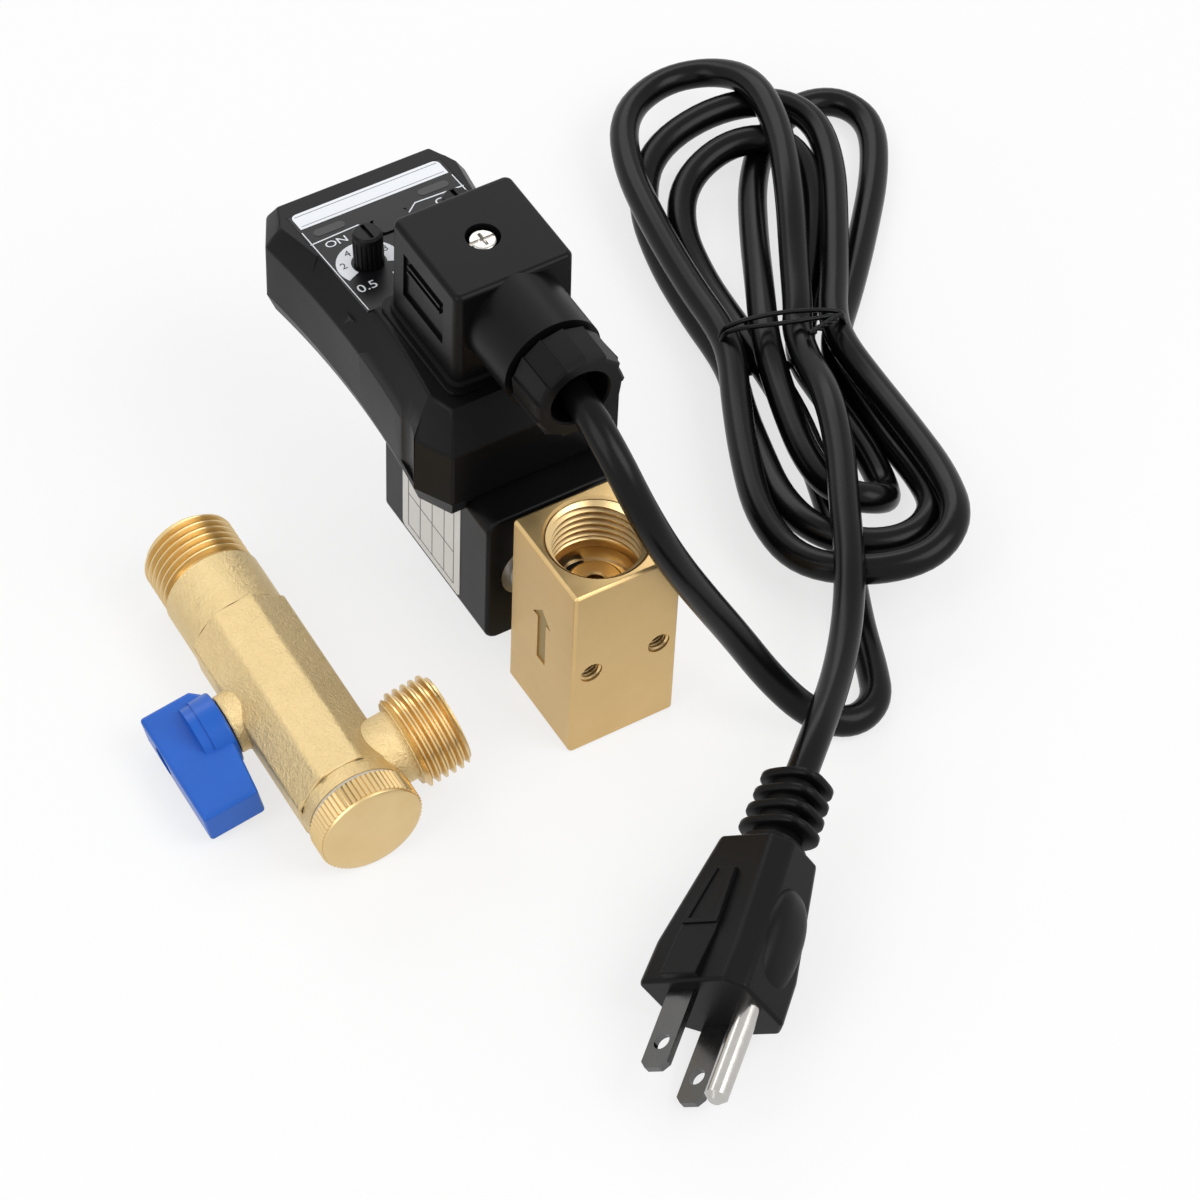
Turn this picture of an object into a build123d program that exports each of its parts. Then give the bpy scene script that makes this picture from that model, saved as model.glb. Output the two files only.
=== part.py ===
from build123d import *
import math
import os

# Automatic drain valve: a brass block valve with its solenoid coil, a timer module plugged onto the coil,
# a plug-in mains connector with its cord, and a strainer ball valve that screws into the inlet.
# Millimetres. X runs along the block's front face, Y from the front to the back, Z up.
# The origin is the middle of the inlet port, on the block's bottom face.

# ---- driving dimensions ----
FIT = 0.1                 # clearance of a close fit
PLAY = 0.3                # clearance beside something that moves

# brass block
BLOCK_SIDE = 25.0
BLOCK_HEIGHT = 48.4
BLOCK_EDGE = 0.6
PORT_MAJOR = 20.955       # G 1/2 thread, major diameter
PORT_MINOR = 18.63        # and its minor diameter
PORT_DEPTH = 17.0
PORT_THREAD = 13.0        # length of full thread in a port
PORT_RIM = 1.0            # depth of the countersink round the top port
PORT_MOUTH = 22.4
FLOW_BORE = 4.5
FIXING_BORE = 5.0         # M5
FIXING_DEPTH = 8.0
FIXING_SPACING = 16.0
FIXING_HEIGHT = 23.5
ARROW_LENGTH = 16.0
ARROW_HEAD = 7.0
ARROW_SHAFT = 3.2
ARROW_DEPTH = 0.4

# solenoid operator, its axis parallel to Y
AXIS_Z = 25.0
CAVITY_DIAMETER = 14.0
CAVITY_DEPTH = 10.5
SEAT_HEIGHT = 1.2
SEAT_DIAMETER = 7.5
FLANGE_GAP = 4.5          # from the block to the coil
FLANGE_DIAMETER = 20.0
GUIDE_DIAMETER = 11.0
GUIDE_WALL = 0.6
PLUNGER_STROKE = 2.0
PLUNGER_LENGTH = 27.0
STUD_LENGTH = 7.0
STUD_DIAMETER = 8.0
SPRING_WIRE = 0.7
SPRING_TURNS = 6

# coil
COIL_WIDTH = 31.0
COIL_LENGTH = 43.0
COIL_HEIGHT = 36.0
COIL_CORNER = 3.0
WINDING_DIAMETER = 27.0
BOBBIN_WALL = 1.0
YOKE_LENGTH = 24.0
YOKE_WIDTH = 15.0
YOKE_THICKNESS = 2.0
TERMINAL_WIDTH = 6.3
TERMINAL_THICKNESS = 0.8
TERMINAL_SPREAD = 18.0
NUT_ACROSS_FLATS = 13.0
NUT_HEIGHT = 4.5

# timer module
CASE_FRONT = 24.5
CASE_BACK = 103.5
CASE_HALF_WIDTH = 24.0
CASE_WAIST = 22.0
CASE_END_HALF_WIDTH = 19.5
CASE_FACET = 8.0
CASE_GRIP = 3.0           # how far the base reaches down beside the coil
CASE_RISE = 1.5           # from the coil's top to the joint of the two shells
CASE_HEIGHT = 27.0
CASE_WALL = 2.0
CASE_ROOF = 2.2
BEVEL_HEIGHT = 8.5
BEVEL_INSET = 5.0
DIMPLE_RADIUS = 9.0
DIMPLE_DEPTH = 0.9
DIMPLE_PITCH = 10.5
PANEL_START = 61.0        # where the sloping display panel begins
PANEL_DROP = 4.3          # how much it falls towards the back edge
LABEL_HALF_WIDTH = 18.3
LABEL_THICKNESS = 0.4
LABEL_BACK = 96.5
BOARD_THICKNESS = 1.6
BOARD_STANDOFF = 5.5      # from the joint of the shells to the board
KNOB_DIAMETER = 6.4
KNOB_HEIGHT = 8.0
KNOB_SPACING = 21.2
KNOB_Y = 74.9
KNOB_STEM = 3.0
TEST_Y = 83.5
TEST_WIDTH = 8.0
TEST_LENGTH = 5.0
TEST_TRAVEL = 0.5
LAMP_Y = 86.5
LAMP_SPACING = 25.0
LAMP_DIAMETER = 3.0
CASE_SCREW = 2.6
SCREW_BOSS = 5.5
SCREW_BITE = 6.0          # how far a case screw reaches above the joint

# plug-in connector on the module
PLINTH_HEIGHT = 0.8
GASKET_THICKNESS = 1.2
SOCKET_WIDTH = 27.6
SOCKET_FRONT = 33.7
SOCKET_BACK = 60.5
SOCKET_HEIGHT = 23.3
SOCKET_WALL = 2.2
SOCKET_CORNER = 2.0
PIN_WIDTH = 6.3
PIN_THICKNESS = 0.8
PIN_SPREAD = 18.0
PIN_LENGTH = 12.0
INSERT_HEIGHT = 12.0
SCREW_RECESS = 7.3
SCREW_HEAD = 6.0
SCREW_SHANK = 3.0
GLAND_DIAMETER = 22.0
GLAND_LENGTH = 14.5
GLAND_BORE = 15.0
GLAND_NUT_DIAMETER = 20.6
GLAND_NUT_LENGTH = 10.0
GLAND_NUT_BORE = 13.0
GLAND_NOTCHES = 8

# mains cord
CORD_DIAMETER = 6.7
CORD_FLOOR = CORD_DIAMETER / 2 + 0.05
HANK_HEIGHT = 17.0
TAIL_HEIGHT = 17.4        # centre line of the stretch that lies on the hank
TIE_HEIGHT = 15.0
TIE_WIDTH = 2.4
TIE_THICKNESS = 0.9
TIE_CENTRE = (83.5, 58.0)
TIE_ANGLE = -18.0         # turn of the hank's own axis from +Y at the tie

# mains plug, three blades (NEMA 5-15)
PLUG_LENGTH = 37.0
PLUG_FACE_WIDTH = 25.0
PLUG_FACE_HEIGHT = 20.0
PLUG_SHOULDER_WIDTH = 17.0
PLUG_SHOULDER_HEIGHT = 15.0
BLADE_WIDTH = 6.35
BLADE_THICKNESS = 1.5
BLADE_LENGTH = 17.9
BLADE_SPACING = 12.7
BLADE_HOLE = 3.6
BLADE_HOLE_FROM_FACE = 11.9
EARTH_DIAMETER = 4.8
EARTH_LENGTH = 21.4
EARTH_OFFSET = 11.9
RELIEF_LENGTH = 18.0
RELIEF_DIAMETER = 10.5
RELIEF_RING = 17.0
RELIEF_RINGS = 4
RELIEF_RING_THICKNESS = 2.0
PLUG_HEADING = 219.9      # direction of the blades in plan, from +X
PLUG_DIP = 8.0
PLUG_ROLL = 34.5
PLUG_PLACE = (-27.0, -86.5)

# strainer ball valve, its own axis along local +Y from the cap to the outlet thread
STRAINER_LENGTH = 85.0
STRAINER_DIAMETER = 21.7
STRAINER_FLATS = 21.9
STRAINER_CORNERS = 23.4
FLATS_START = 10.0
FLATS_END = 58.5
THREAD_DIAMETER = 20.955
OUTLET_THREAD = 13.0
CAP_DIAMETER = 23.0
CAP_LENGTH = 6.0
CAP_SPIGOT = 5.0
CAP_GASKET = 0.8
CHAMBER_BORE = 16.4
WATERWAY = 9.5
SCREEN_DIAMETER = 13.0
SCREEN_WALL = 0.5
SCREEN_LENGTH = 20.0
SIDE_PORT_Y = 15.0
SIDE_PORT_REACH = 25.5
SIDE_THREAD = 11.0
SIDE_NECK = 15.6
SIDE_BORE = 12.5
STEM_Y = 40.0
BALL_DIAMETER = 15.0
SEAT_WIDTH = 4.0
RETAINER_LENGTH = 7.0
STEM_DIAMETER = 6.0
STEM_BOSS = 13.0
STEM_BOSS_REACH = 13.2
STEM_REACH = 23.5
SEAL_DIAMETER = 8.4
HUB_DIAMETER = 16.0
HUB_LENGTH = 4.6
HANDLE_REACH = 28.0
HANDLE_THICKNESS = 8.0
HANDLE_LONG_END = 20.5
HANDLE_SHORT_END = 9.4
HANDLE_HEEL = 15.5        # inner edge of the bar at its long end
HANDLE_SCREW_RECESS = 6.5
STRAINER_PLACE = (-61.6, -17.9)
STRAINER_TURN = -1.5
STRAINER_ROLL = -12.0

# ---- places worked out from them ----
BLOCK_BACK = BLOCK_SIDE / 2
COIL_FRONT = BLOCK_BACK + FLANGE_GAP
COIL_BACK = COIL_FRONT + COIL_LENGTH
COIL_BOTTOM = AXIS_Z - COIL_HEIGHT / 2
COIL_TOP = AXIS_Z + COIL_HEIGHT / 2
CASE_BOTTOM = COIL_TOP - CASE_GRIP
CASE_SPLIT = COIL_TOP + CASE_RISE
CASE_TOP = CASE_BOTTOM + CASE_HEIGHT
BOARD_HEIGHT = CASE_SPLIT + BOARD_STANDOFF
CAVITY_END = BLOCK_BACK - CAVITY_DEPTH
SEAT_FACE = CAVITY_END + SEAT_HEIGHT
PLUNGER_DIAMETER = GUIDE_DIAMETER - 2 * GUIDE_WALL - 2 * PLAY
PLUNGER_FRONT = SEAT_FACE
PLUNGER_BACK = PLUNGER_FRONT + PLUNGER_LENGTH
CORE_FRONT = PLUNGER_BACK + PLUNGER_STROKE + PLAY
WASHER_THICKNESS = 1.0
NUT_FRONT = COIL_BACK + WASHER_THICKNESS
PANEL_LENGTH = CASE_BACK - PANEL_START
PANEL_TILT = math.degrees(math.atan2(PANEL_DROP, PANEL_LENGTH))
SOCKET_BASE = CASE_TOP + PLINTH_HEIGHT + GASKET_THICKNESS
SOCKET_TOP = SOCKET_BASE + SOCKET_HEIGHT
SOCKET_Y = (SOCKET_FRONT + SOCKET_BACK) / 2
GLAND_Z = SOCKET_TOP - GLAND_DIAMETER / 2
GLAND_END = SOCKET_FRONT - GLAND_LENGTH
NUT_GAP = 0.8
NUT_END = GLAND_END - NUT_GAP - GLAND_NUT_LENGTH
STRAINER_AXIS_Z = CAP_DIAMETER / 2

PANEL_PLANE = Plane(
    origin=(0, PANEL_START, CASE_TOP),
    x_dir=(1, 0, 0),
    z_dir=(0, math.sin(math.radians(PANEL_TILT)), math.cos(math.radians(PANEL_TILT))),
)


# ---- helpers ----
def box(x0, x1, y0, y1, z0, z1):
    """A block given by its limits."""
    return Pos((x0 + x1) / 2, (y0 + y1) / 2, (z0 + z1) / 2) * Box(x1 - x0, y1 - y0, z1 - z0)


def rod_z(diameter, z0, z1, x=0.0, y=0.0):
    """A round bar along Z."""
    return Pos(x, y, (z0 + z1) / 2) * Cylinder(diameter / 2, z1 - z0)


def rod_y(diameter, y0, y1, x=0.0, z=0.0):
    """A round bar along Y."""
    return Pos(x, (y0 + y1) / 2, z) * Rot(90, 0, 0) * Cylinder(diameter / 2, y1 - y0)


def rod_x(diameter, x0, x1, y=0.0, z=0.0):
    """A round bar along X."""
    return Pos((x0 + x1) / 2, y, z) * Rot(0, 90, 0) * Cylinder(diameter / 2, x1 - x0)


def ring_y(outer, inner, y0, y1, x=0.0, z=0.0):
    """A ring about a line along Y."""
    return rod_y(outer, y0, y1, x, z) - rod_y(inner, y0 - 1, y1 + 1, x, z)


def panel_point(x, y):
    """The place on the sloping panel that lies at these X and Y."""
    return PANEL_PLANE * Pos(x, (y - PANEL_START) / math.cos(math.radians(PANEL_TILT)), 0)


# ---- brass block and its solenoid operator ----
def port(sign, face_z):
    """The tool that cuts one threaded port; sign is +1 for the top port and -1 for the bottom one."""
    def along(diameter, start, end):
        return rod_z(diameter, min(face_z - sign * start, face_z - sign * end),
                     max(face_z - sign * start, face_z - sign * end))
    cut = along(PORT_MAJOR + FIT, -1, PORT_THREAD) + along(PORT_MINOR - 0.8, 0, PORT_DEPTH)
    if sign > 0:
        cut += Pos(0, 0, face_z - PORT_RIM / 2) * Cone((PORT_MAJOR + FIT) / 2, PORT_MOUTH / 2, PORT_RIM + 0.01)
    return cut


def flow_arrow():
    """The shallow arrow pressed into the left face, pointing the way the water flows."""
    half, neck, tip = ARROW_HEAD / 2, ARROW_SHAFT / 2, ARROW_LENGTH / 2
    outline = Polyline(
        (-neck, -tip), (neck, -tip), (neck, tip - half), (half, tip - half),
        (0, tip), (-half, tip - half), (-neck, tip - half), close=True)
    face = Plane(origin=(-BLOCK_SIDE / 2, 0, AXIS_Z), x_dir=(0, -1, 0), z_dir=(-1, 0, 0)) * make_face(outline)
    return extrude(face, amount=-ARROW_DEPTH) + extrude(face, amount=0.2)


def valve_body():
    block = Pos(0, 0, BLOCK_HEIGHT / 2) * Box(BLOCK_SIDE, BLOCK_SIDE, BLOCK_HEIGHT)
    block = chamfer(block.edges(), BLOCK_EDGE)
    block -= port(1, BLOCK_HEIGHT) + port(-1, 0)
    block -= rod_y(CAVITY_DIAMETER, CAVITY_END, BLOCK_BACK + 1, z=AXIS_Z)
    block += rod_y(SEAT_DIAMETER, CAVITY_END - 0.1, SEAT_FACE, z=AXIS_Z)
    block -= rod_y(FLOW_BORE, 0, SEAT_FACE + 1, z=AXIS_Z)
    block -= rod_z(FLOW_BORE, AXIS_Z - FLOW_BORE / 3, BLOCK_HEIGHT - PORT_DEPTH + 1)
    block -= rod_z(FLOW_BORE, PORT_DEPTH - 1, AXIS_Z - SEAT_DIAMETER / 2, y=CAVITY_END + 4)
    for side in (-1, 1):
        block -= rod_y(FIXING_BORE, -BLOCK_BACK - 1, -BLOCK_BACK + FIXING_DEPTH,
                       x=side * FIXING_SPACING / 2, z=FIXING_HEIGHT)
    return block - flow_arrow()


def operator_tube():
    """Guide tube with its flange; the flange is clamped on the block's back face."""
    spigot = rod_y(CAVITY_DIAMETER - FIT, BLOCK_BACK - 4, BLOCK_BACK + 0.5, z=AXIS_Z)
    flange = rod_y(FLANGE_DIAMETER, BLOCK_BACK, COIL_FRONT, z=AXIS_Z)
    flange = chamfer(flange.edges(), 0.5)
    guide = rod_y(GUIDE_DIAMETER, COIL_FRONT - 1, COIL_BACK - 4, z=AXIS_Z)
    bore = rod_y(GUIDE_DIAMETER - 2 * GUIDE_WALL, BLOCK_BACK - 5, COIL_BACK, z=AXIS_Z)
    return spigot + flange + guide - bore


def tube_seal():
    """O-ring at the end of the operator tube's spigot, in the block's cavity."""
    wire = 1.6
    front = BLOCK_BACK - 4 - wire - FIT
    return ring_y(CAVITY_DIAMETER - FIT, CAVITY_DIAMETER - 2 * wire, front, front + wire, z=AXIS_Z)


def fixed_core():
    """Magnetic stop that closes the guide tube, with the stud that holds the coil."""
    inner = GUIDE_DIAMETER - 2 * GUIDE_WALL - FIT
    core = rod_y(inner, CORE_FRONT, COIL_BACK - 4, z=AXIS_Z)
    collar = rod_y(GUIDE_DIAMETER, COIL_BACK - 4, COIL_BACK - FIT, z=AXIS_Z)
    stud = rod_y(STUD_DIAMETER, COIL_BACK - 1, NUT_FRONT + STUD_LENGTH, z=AXIS_Z)
    return core + collar + chamfer(stud.edges(), 0.5)


def plunger():
    nose = rod_y(PLUNGER_DIAMETER - 1.5, PLUNGER_FRONT + 1.5, PLUNGER_FRONT + 4, z=AXIS_Z)
    body = rod_y(PLUNGER_DIAMETER, PLUNGER_FRONT + 4, PLUNGER_BACK, z=AXIS_Z)
    spring_seat = rod_y(5.0, PLUNGER_BACK - 8, PLUNGER_BACK + 1, z=AXIS_Z)
    return nose + body - spring_seat


def plunger_seal():
    return rod_y(PLUNGER_DIAMETER - 1.5, PLUNGER_FRONT, PLUNGER_FRONT + 1.5, z=AXIS_Z)


def plunger_spring():
    """Return spring between the plunger and the fixed core, held in the plunger's end."""
    start, end = PLUNGER_BACK - 8 + SPRING_WIRE / 2, CORE_FRONT - SPRING_WIRE / 2
    radius = 1.9
    path = Pos(0, start, AXIS_Z) * Rot(-90, 0, 0) * Helix((end - start) / SPRING_TURNS, end - start, radius)
    section = Plane(origin=path @ 0, z_dir=path % 0) * Circle(SPRING_WIRE / 2)
    return sweep(section, path=path, is_frenet=True)


# ---- coil ----
def obround_y(length, width, y0, y1):
    """An obround plate that stands across Y, long side along X, centred on the operator's axis."""
    face = Plane(origin=(0, y0, AXIS_Z), x_dir=(1, 0, 0), z_dir=(0, 1, 0)) * SlotOverall(length, width)
    return extrude(face, amount=y1 - y0)


def coil_housing():
    """Moulded case of the coil, open along the operator tube."""
    block = box(-COIL_WIDTH / 2, COIL_WIDTH / 2, COIL_FRONT, COIL_BACK, COIL_BOTTOM, COIL_TOP)
    block = fillet(block.edges().filter_by(Axis.Y), COIL_CORNER)
    block = fillet(block.edges().group_by(Axis.Y)[0] + block.edges().group_by(Axis.Y)[-1], 0.8)
    block -= rod_y(GUIDE_DIAMETER + 2 * PLAY, COIL_FRONT - 1, COIL_BACK + 1, z=AXIS_Z)
    block -= rod_y(WINDING_DIAMETER + FIT, COIL_FRONT + 4, COIL_BACK - 4, z=AXIS_Z)
    for y0 in (COIL_FRONT, COIL_BACK - YOKE_THICKNESS):
        block -= obround_y(YOKE_LENGTH + FIT, YOKE_WIDTH + FIT, y0 - FIT, y0 + YOKE_THICKNESS + FIT)
    for x in (-1, 0, 1):
        block -= terminal(x, FIT)
    return block


def terminal(index, gap=0.0):
    """One flat terminal on the coil's top; gap widens it into the slot that it sits in."""
    x = index * TERMINAL_SPREAD / 2
    y = COIL_FRONT + COIL_LENGTH / 2
    half = TERMINAL_WIDTH / 2 + gap
    thin = TERMINAL_THICKNESS / 2 + gap
    return box(x - thin, x + thin, y - half, y + half, COIL_TOP - 1.5 - gap, COIL_TOP + 5.5)


def coil_yokes():
    """Steel pole plates let into the coil's two end faces."""
    plates = []
    for y0 in (COIL_FRONT, COIL_BACK - YOKE_THICKNESS):
        plate = obround_y(YOKE_LENGTH, YOKE_WIDTH, y0, y0 + YOKE_THICKNESS)
        plates.append(plate - rod_y(GUIDE_DIAMETER + 2 * PLAY, y0 - 1, y0 + YOKE_THICKNESS + 1, z=AXIS_Z))
    return Compound(children=plates)


def coil_bobbin():
    y0, y1 = COIL_FRONT + 4 + FIT, COIL_BACK - 4 - FIT
    inner = GUIDE_DIAMETER + 2 * PLAY
    spool = rod_y(inner + 2 * BOBBIN_WALL, y0, y1, z=AXIS_Z)
    for start in (y0, y1 - BOBBIN_WALL):
        spool += rod_y(WINDING_DIAMETER, start, start + BOBBIN_WALL, z=AXIS_Z)
    return spool - rod_y(inner, y0 - 1, y1 + 1, z=AXIS_Z)


def coil_winding():
    y0, y1 = COIL_FRONT + 4 + FIT + BOBBIN_WALL, COIL_BACK - 4 - FIT - BOBBIN_WALL
    core = GUIDE_DIAMETER + 2 * PLAY + 2 * BOBBIN_WALL
    return ring_y(WINDING_DIAMETER - 1, core, y0, y1, z=AXIS_Z)


def coil_terminals():
    return Compound(children=[terminal(x) for x in (-1, 0, 1)])


def coil_washer():
    return ring_y(NUT_ACROSS_FLATS + 3, STUD_DIAMETER + PLAY, COIL_BACK, NUT_FRONT, z=AXIS_Z)


def coil_nut():
    face = Plane(origin=(0, NUT_FRONT, AXIS_Z), x_dir=(1, 0, 0), z_dir=(0, 1, 0)) * RegularPolygon(
        NUT_ACROSS_FLATS / 2, 6, major_radius=False)
    nut = extrude(face, amount=NUT_HEIGHT)
    nut &= rod_y(NUT_ACROSS_FLATS * 1.12, NUT_FRONT, NUT_FRONT + NUT_HEIGHT, z=AXIS_Z)
    return nut - rod_y(STUD_DIAMETER, NUT_FRONT - 1, NUT_FRONT + NUT_HEIGHT + 1, z=AXIS_Z)


# ---- timer module ----
def case_outline(inset):
    """Plan of the module: facets at the four corners and long sides drawn in at the waist."""
    wide, waist, end = CASE_HALF_WIDTH - inset, CASE_WAIST - inset, CASE_END_HALF_WIDTH - inset / 2
    front, back = CASE_FRONT + inset, CASE_BACK - inset
    middle = (front + back) / 2 - 8
    near, far = front + CASE_FACET - inset / 2, back - CASE_FACET + inset / 2
    right = ThreePointArc((wide, near), (waist, middle), (wide, far))
    left = ThreePointArc((-wide, far), (-waist, middle), (-wide, near))
    back_line = Polyline((wide, far), (end, back), (-end, back), (-wide, far))
    front_line = Polyline((-wide, near), (-end, front), (end, front), (wide, near))
    return make_face(right + back_line + left + front_line)


def case_form(inset, top):
    """The module's outer form, or its hollow: walls up to the bevel and then a sloping shoulder."""
    shoulder = top - BEVEL_HEIGHT
    walls = extrude(Pos(0, 0, CASE_SPLIT) * case_outline(inset), amount=shoulder - CASE_SPLIT)
    cap = loft([Pos(0, 0, shoulder) * case_outline(inset), Pos(0, 0, top) * case_outline(inset + BEVEL_INSET)])
    cut = PANEL_PLANE * Pos(0, PANEL_LENGTH / 2, 10 + top - CASE_TOP) * Box(120, PANEL_LENGTH + 20, 20)
    wedge = cut - box(-70, 70, 0, PANEL_START, 0, 120)
    return walls + cap - wedge


def finger_dimples():
    """Two shallow scallops on each long side, near the front."""
    cuts = []
    for side in (-1, 1):
        for step in (0, 1):
            y = CASE_FRONT + CASE_FACET + 4.5 + step * DIMPLE_PITCH
            x = side * (CASE_HALF_WIDTH - 0.3 + DIMPLE_RADIUS - DIMPLE_DEPTH)
            cuts.append(rod_z(2 * DIMPLE_RADIUS, CASE_SPLIT + 1.5, CASE_TOP, x=x, y=y))
    return Compound(children=cuts)


def screw_places():
    """The four screws that hold the module's two shells together."""
    x = CASE_HALF_WIDTH - 6.5
    return [(side * x, y) for side in (-1, 1) for y in (CASE_BACK - 9.0, COIL_BACK + 6.0)]


def controller_base():
    split = Pos(0, 0, CASE_SPLIT) * case_outline(0)
    floor = Pos(0, 0, CASE_BOTTOM) * case_outline(1.6)
    base = loft([floor, split])
    hollow = extrude(Pos(0, 0, CASE_BOTTOM + 2) * case_outline(1.6 + CASE_WALL), amount=10)
    hollow -= box(-COIL_WIDTH / 2 - 2, COIL_WIDTH / 2 + 2, 0, COIL_BACK + 2, 0, COIL_TOP + 1.2)
    base -= hollow
    base -= box(-COIL_WIDTH / 2 - FIT, COIL_WIDTH / 2 + FIT, COIL_FRONT - 1, COIL_BACK + FIT,
                CASE_BOTTOM - 1, COIL_TOP + FIT)
    for x in (-1, 0, 1):
        base -= terminal(x, FIT)
    for x, y in screw_places():
        base += rod_z(SCREW_BOSS, CASE_BOTTOM, CASE_SPLIT, x, y)
        base -= rod_z(CASE_SCREW + FIT, CASE_BOTTOM - 1, CASE_SPLIT + 1, x, y)
        base -= rod_z(4.4, CASE_BOTTOM - 1, CASE_BOTTOM + 1.6, x, y)
    return base


def knob_places():
    return [(-KNOB_SPACING / 2, KNOB_Y), (KNOB_SPACING / 2, KNOB_Y)]


def lamp_places():
    return [(-LAMP_SPACING / 2, LAMP_Y), (LAMP_SPACING / 2, LAMP_Y)]


def controller_cover():
    cover = case_form(0, CASE_TOP) - case_form(CASE_WALL, CASE_TOP - CASE_ROOF)
    cover -= finger_dimples()
    seat = Pos(0, SOCKET_Y, CASE_TOP) * Rectangle(SOCKET_WIDTH + 4, SOCKET_BACK - SOCKET_FRONT + 4)
    plinth = extrude(seat, amount=PLINTH_HEIGHT)
    cover += fillet(plinth.edges().filter_by(Axis.Z), SOCKET_CORNER + 1)
    cover -= panel_pocket()
    for x, y in knob_places():
        cover -= panel_point(x, y) * Cylinder(KNOB_STEM / 2 + PLAY, 12)
    cover -= panel_point(0, TEST_Y) * Box(TEST_WIDTH + 2 * PLAY, TEST_LENGTH + 2 * PLAY, 12)
    for x, y in lamp_places():
        cover -= panel_point(x, y) * Cylinder(LAMP_DIAMETER / 2 + FIT, 12)
    for pin in pin_boxes(FIT):
        cover -= pin
    cover -= rod_z(SCREW_SHANK - 0.4, CASE_TOP - 8, CASE_TOP + 5, 0, SOCKET_Y)
    for x, y in screw_places():
        boss = rod_z(SCREW_BOSS, CASE_SPLIT, CASE_TOP - CASE_ROOF - 2.5, x, y)
        cover += boss - rod_z(CASE_SCREW, CASE_SPLIT - 1, CASE_SPLIT + SCREW_BITE + 0.5, x, y)
    return cover


def panel_pocket():
    """Shallow recess in the sloping panel for the label."""
    length = LABEL_BACK - PANEL_START - 0.5
    centre = panel_point(0, PANEL_START + 0.5 + length / 2)
    return centre * Box(2 * LABEL_HALF_WIDTH + 2 * FIT, length + 2 * FIT, 2 * LABEL_THICKNESS)


def face_label():
    """Membrane sheet over the panel, with holes for the two knobs."""
    length = LABEL_BACK - PANEL_START - 0.5
    sheet = panel_point(0, PANEL_START + 0.5 + length / 2) * Pos(0, 0, -LABEL_THICKNESS / 2) * Box(
        2 * LABEL_HALF_WIDTH, length, LABEL_THICKNESS)
    for x, y in knob_places():
        sheet -= panel_point(x, y) * Cylinder(KNOB_STEM / 2 + PLAY, 12)
    sheet -= panel_point(0, TEST_Y) * Box(TEST_WIDTH + 2 * PLAY, TEST_LENGTH + 2 * PLAY, 12)
    return sheet


def circuit_board():
    board = extrude(Pos(0, 0, BOARD_HEIGHT) * case_outline(CASE_WALL + 1), amount=BOARD_THICKNESS)
    for x, y in screw_places():
        board -= rod_z(SCREW_BOSS + 5 * FIT, BOARD_HEIGHT - 1, BOARD_HEIGHT + BOARD_THICKNESS + 1, x, y)
    for x in (-1, 0, 1):
        board -= terminal(x, FIT)
    return board


def board_components():
    """Relay, capacitors, transformer and plug-on contacts soldered to the board."""
    top = BOARD_HEIGHT + BOARD_THICKNESS
    room = CASE_TOP - CASE_ROOF - top
    near = CASE_FRONT + CASE_FACET + 1.5
    wide = 0.62 * CASE_WAIST
    relay = box(-wide - 2, -0.1 * CASE_WAIST, near, near + wide, top, top + 0.57 * room)
    transformer = box(0.1 * CASE_WAIST, wide + 2, near, near + wide + 2, top, top + 0.64 * room)
    capacitors = [rod_z(0.27 * wide * 2, top, top + 0.6 * room, x * wide, near + 1.65 * wide) for x in (-0.95, -0.3, 0.35)]
    chip = box(-0.23 * CASE_WAIST, 0.23 * CASE_WAIST, CASE_BACK - 11.5, CASE_BACK - 6.5, top, top + 0.15 * room)
    return Compound(children=[relay, transformer, chip] + capacitors)


def potentiometers():
    """Housings of the two timing potentiometers, each bored for its knob's stem."""
    top = BOARD_HEIGHT + BOARD_THICKNESS
    bodies = []
    for x, y in knob_places():
        body = box(x - 4.8, x + 4.8, y - 4.8, y + 4.8, top, top + 5.5)
        bodies.append(body - panel_point(x, y) * Pos(0, 0, -8) * Cylinder(KNOB_STEM / 2 + FIT, 22))
    return Compound(children=bodies)


def knob(x, y):
    """Fluted timing knob with its screwdriver slot and its stem; it stands square to the panel."""
    place = panel_point(x, y)
    head = Pos(0, 0, PLAY + KNOB_HEIGHT / 2) * Cylinder(KNOB_DIAMETER / 2, KNOB_HEIGHT)
    head = chamfer(head.edges().group_by(Axis.Z)[-1], 0.5)
    flutes = PolarLocations(KNOB_DIAMETER / 2 + 0.12, 18) * (Pos(0, 0, 3.6) * Cylinder(0.35, 6.4))
    head -= Compound(children=list(flutes))
    head -= Pos(0, 0, PLAY + KNOB_HEIGHT) * Box(0.9, KNOB_DIAMETER - 1.6, 1.6)
    stem_length = CASE_TOP - BOARD_HEIGHT - BOARD_THICKNESS - 4
    stem = Pos(0, 0, PLAY + 0.5 - stem_length / 2) * Cylinder(KNOB_STEM / 2, stem_length + 1)
    return place * (head + stem)


def test_switch():
    """Body of the test switch on the board."""
    top = BOARD_HEIGHT + BOARD_THICKNESS
    return box(-3, 3, TEST_Y - 3, TEST_Y + 3, top, top + 4.5)


def test_button():
    """Key under the label's test field; it presses the switch below."""
    place = panel_point(0, TEST_Y)
    key = Pos(0, 0, -0.75) * Box(TEST_WIDTH, TEST_LENGTH, 2.3)
    key = fillet(key.edges().filter_by(Axis.Z), 1.2)
    key += Pos(0, 0, -CASE_ROOF - FIT - 0.5) * Box(TEST_WIDTH + 2, TEST_LENGTH + 2, 1.0)
    reach = CASE_TOP - PANEL_DROP * (TEST_Y - PANEL_START) / PANEL_LENGTH - BOARD_HEIGHT - BOARD_THICKNESS
    stalk = Pos(0, 0, -(reach - 4.5 - TEST_TRAVEL) / 2 - 0.2) * Cylinder(1.5, reach - 4.5 - TEST_TRAVEL - 0.7)
    return place * (key + stalk)


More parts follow.
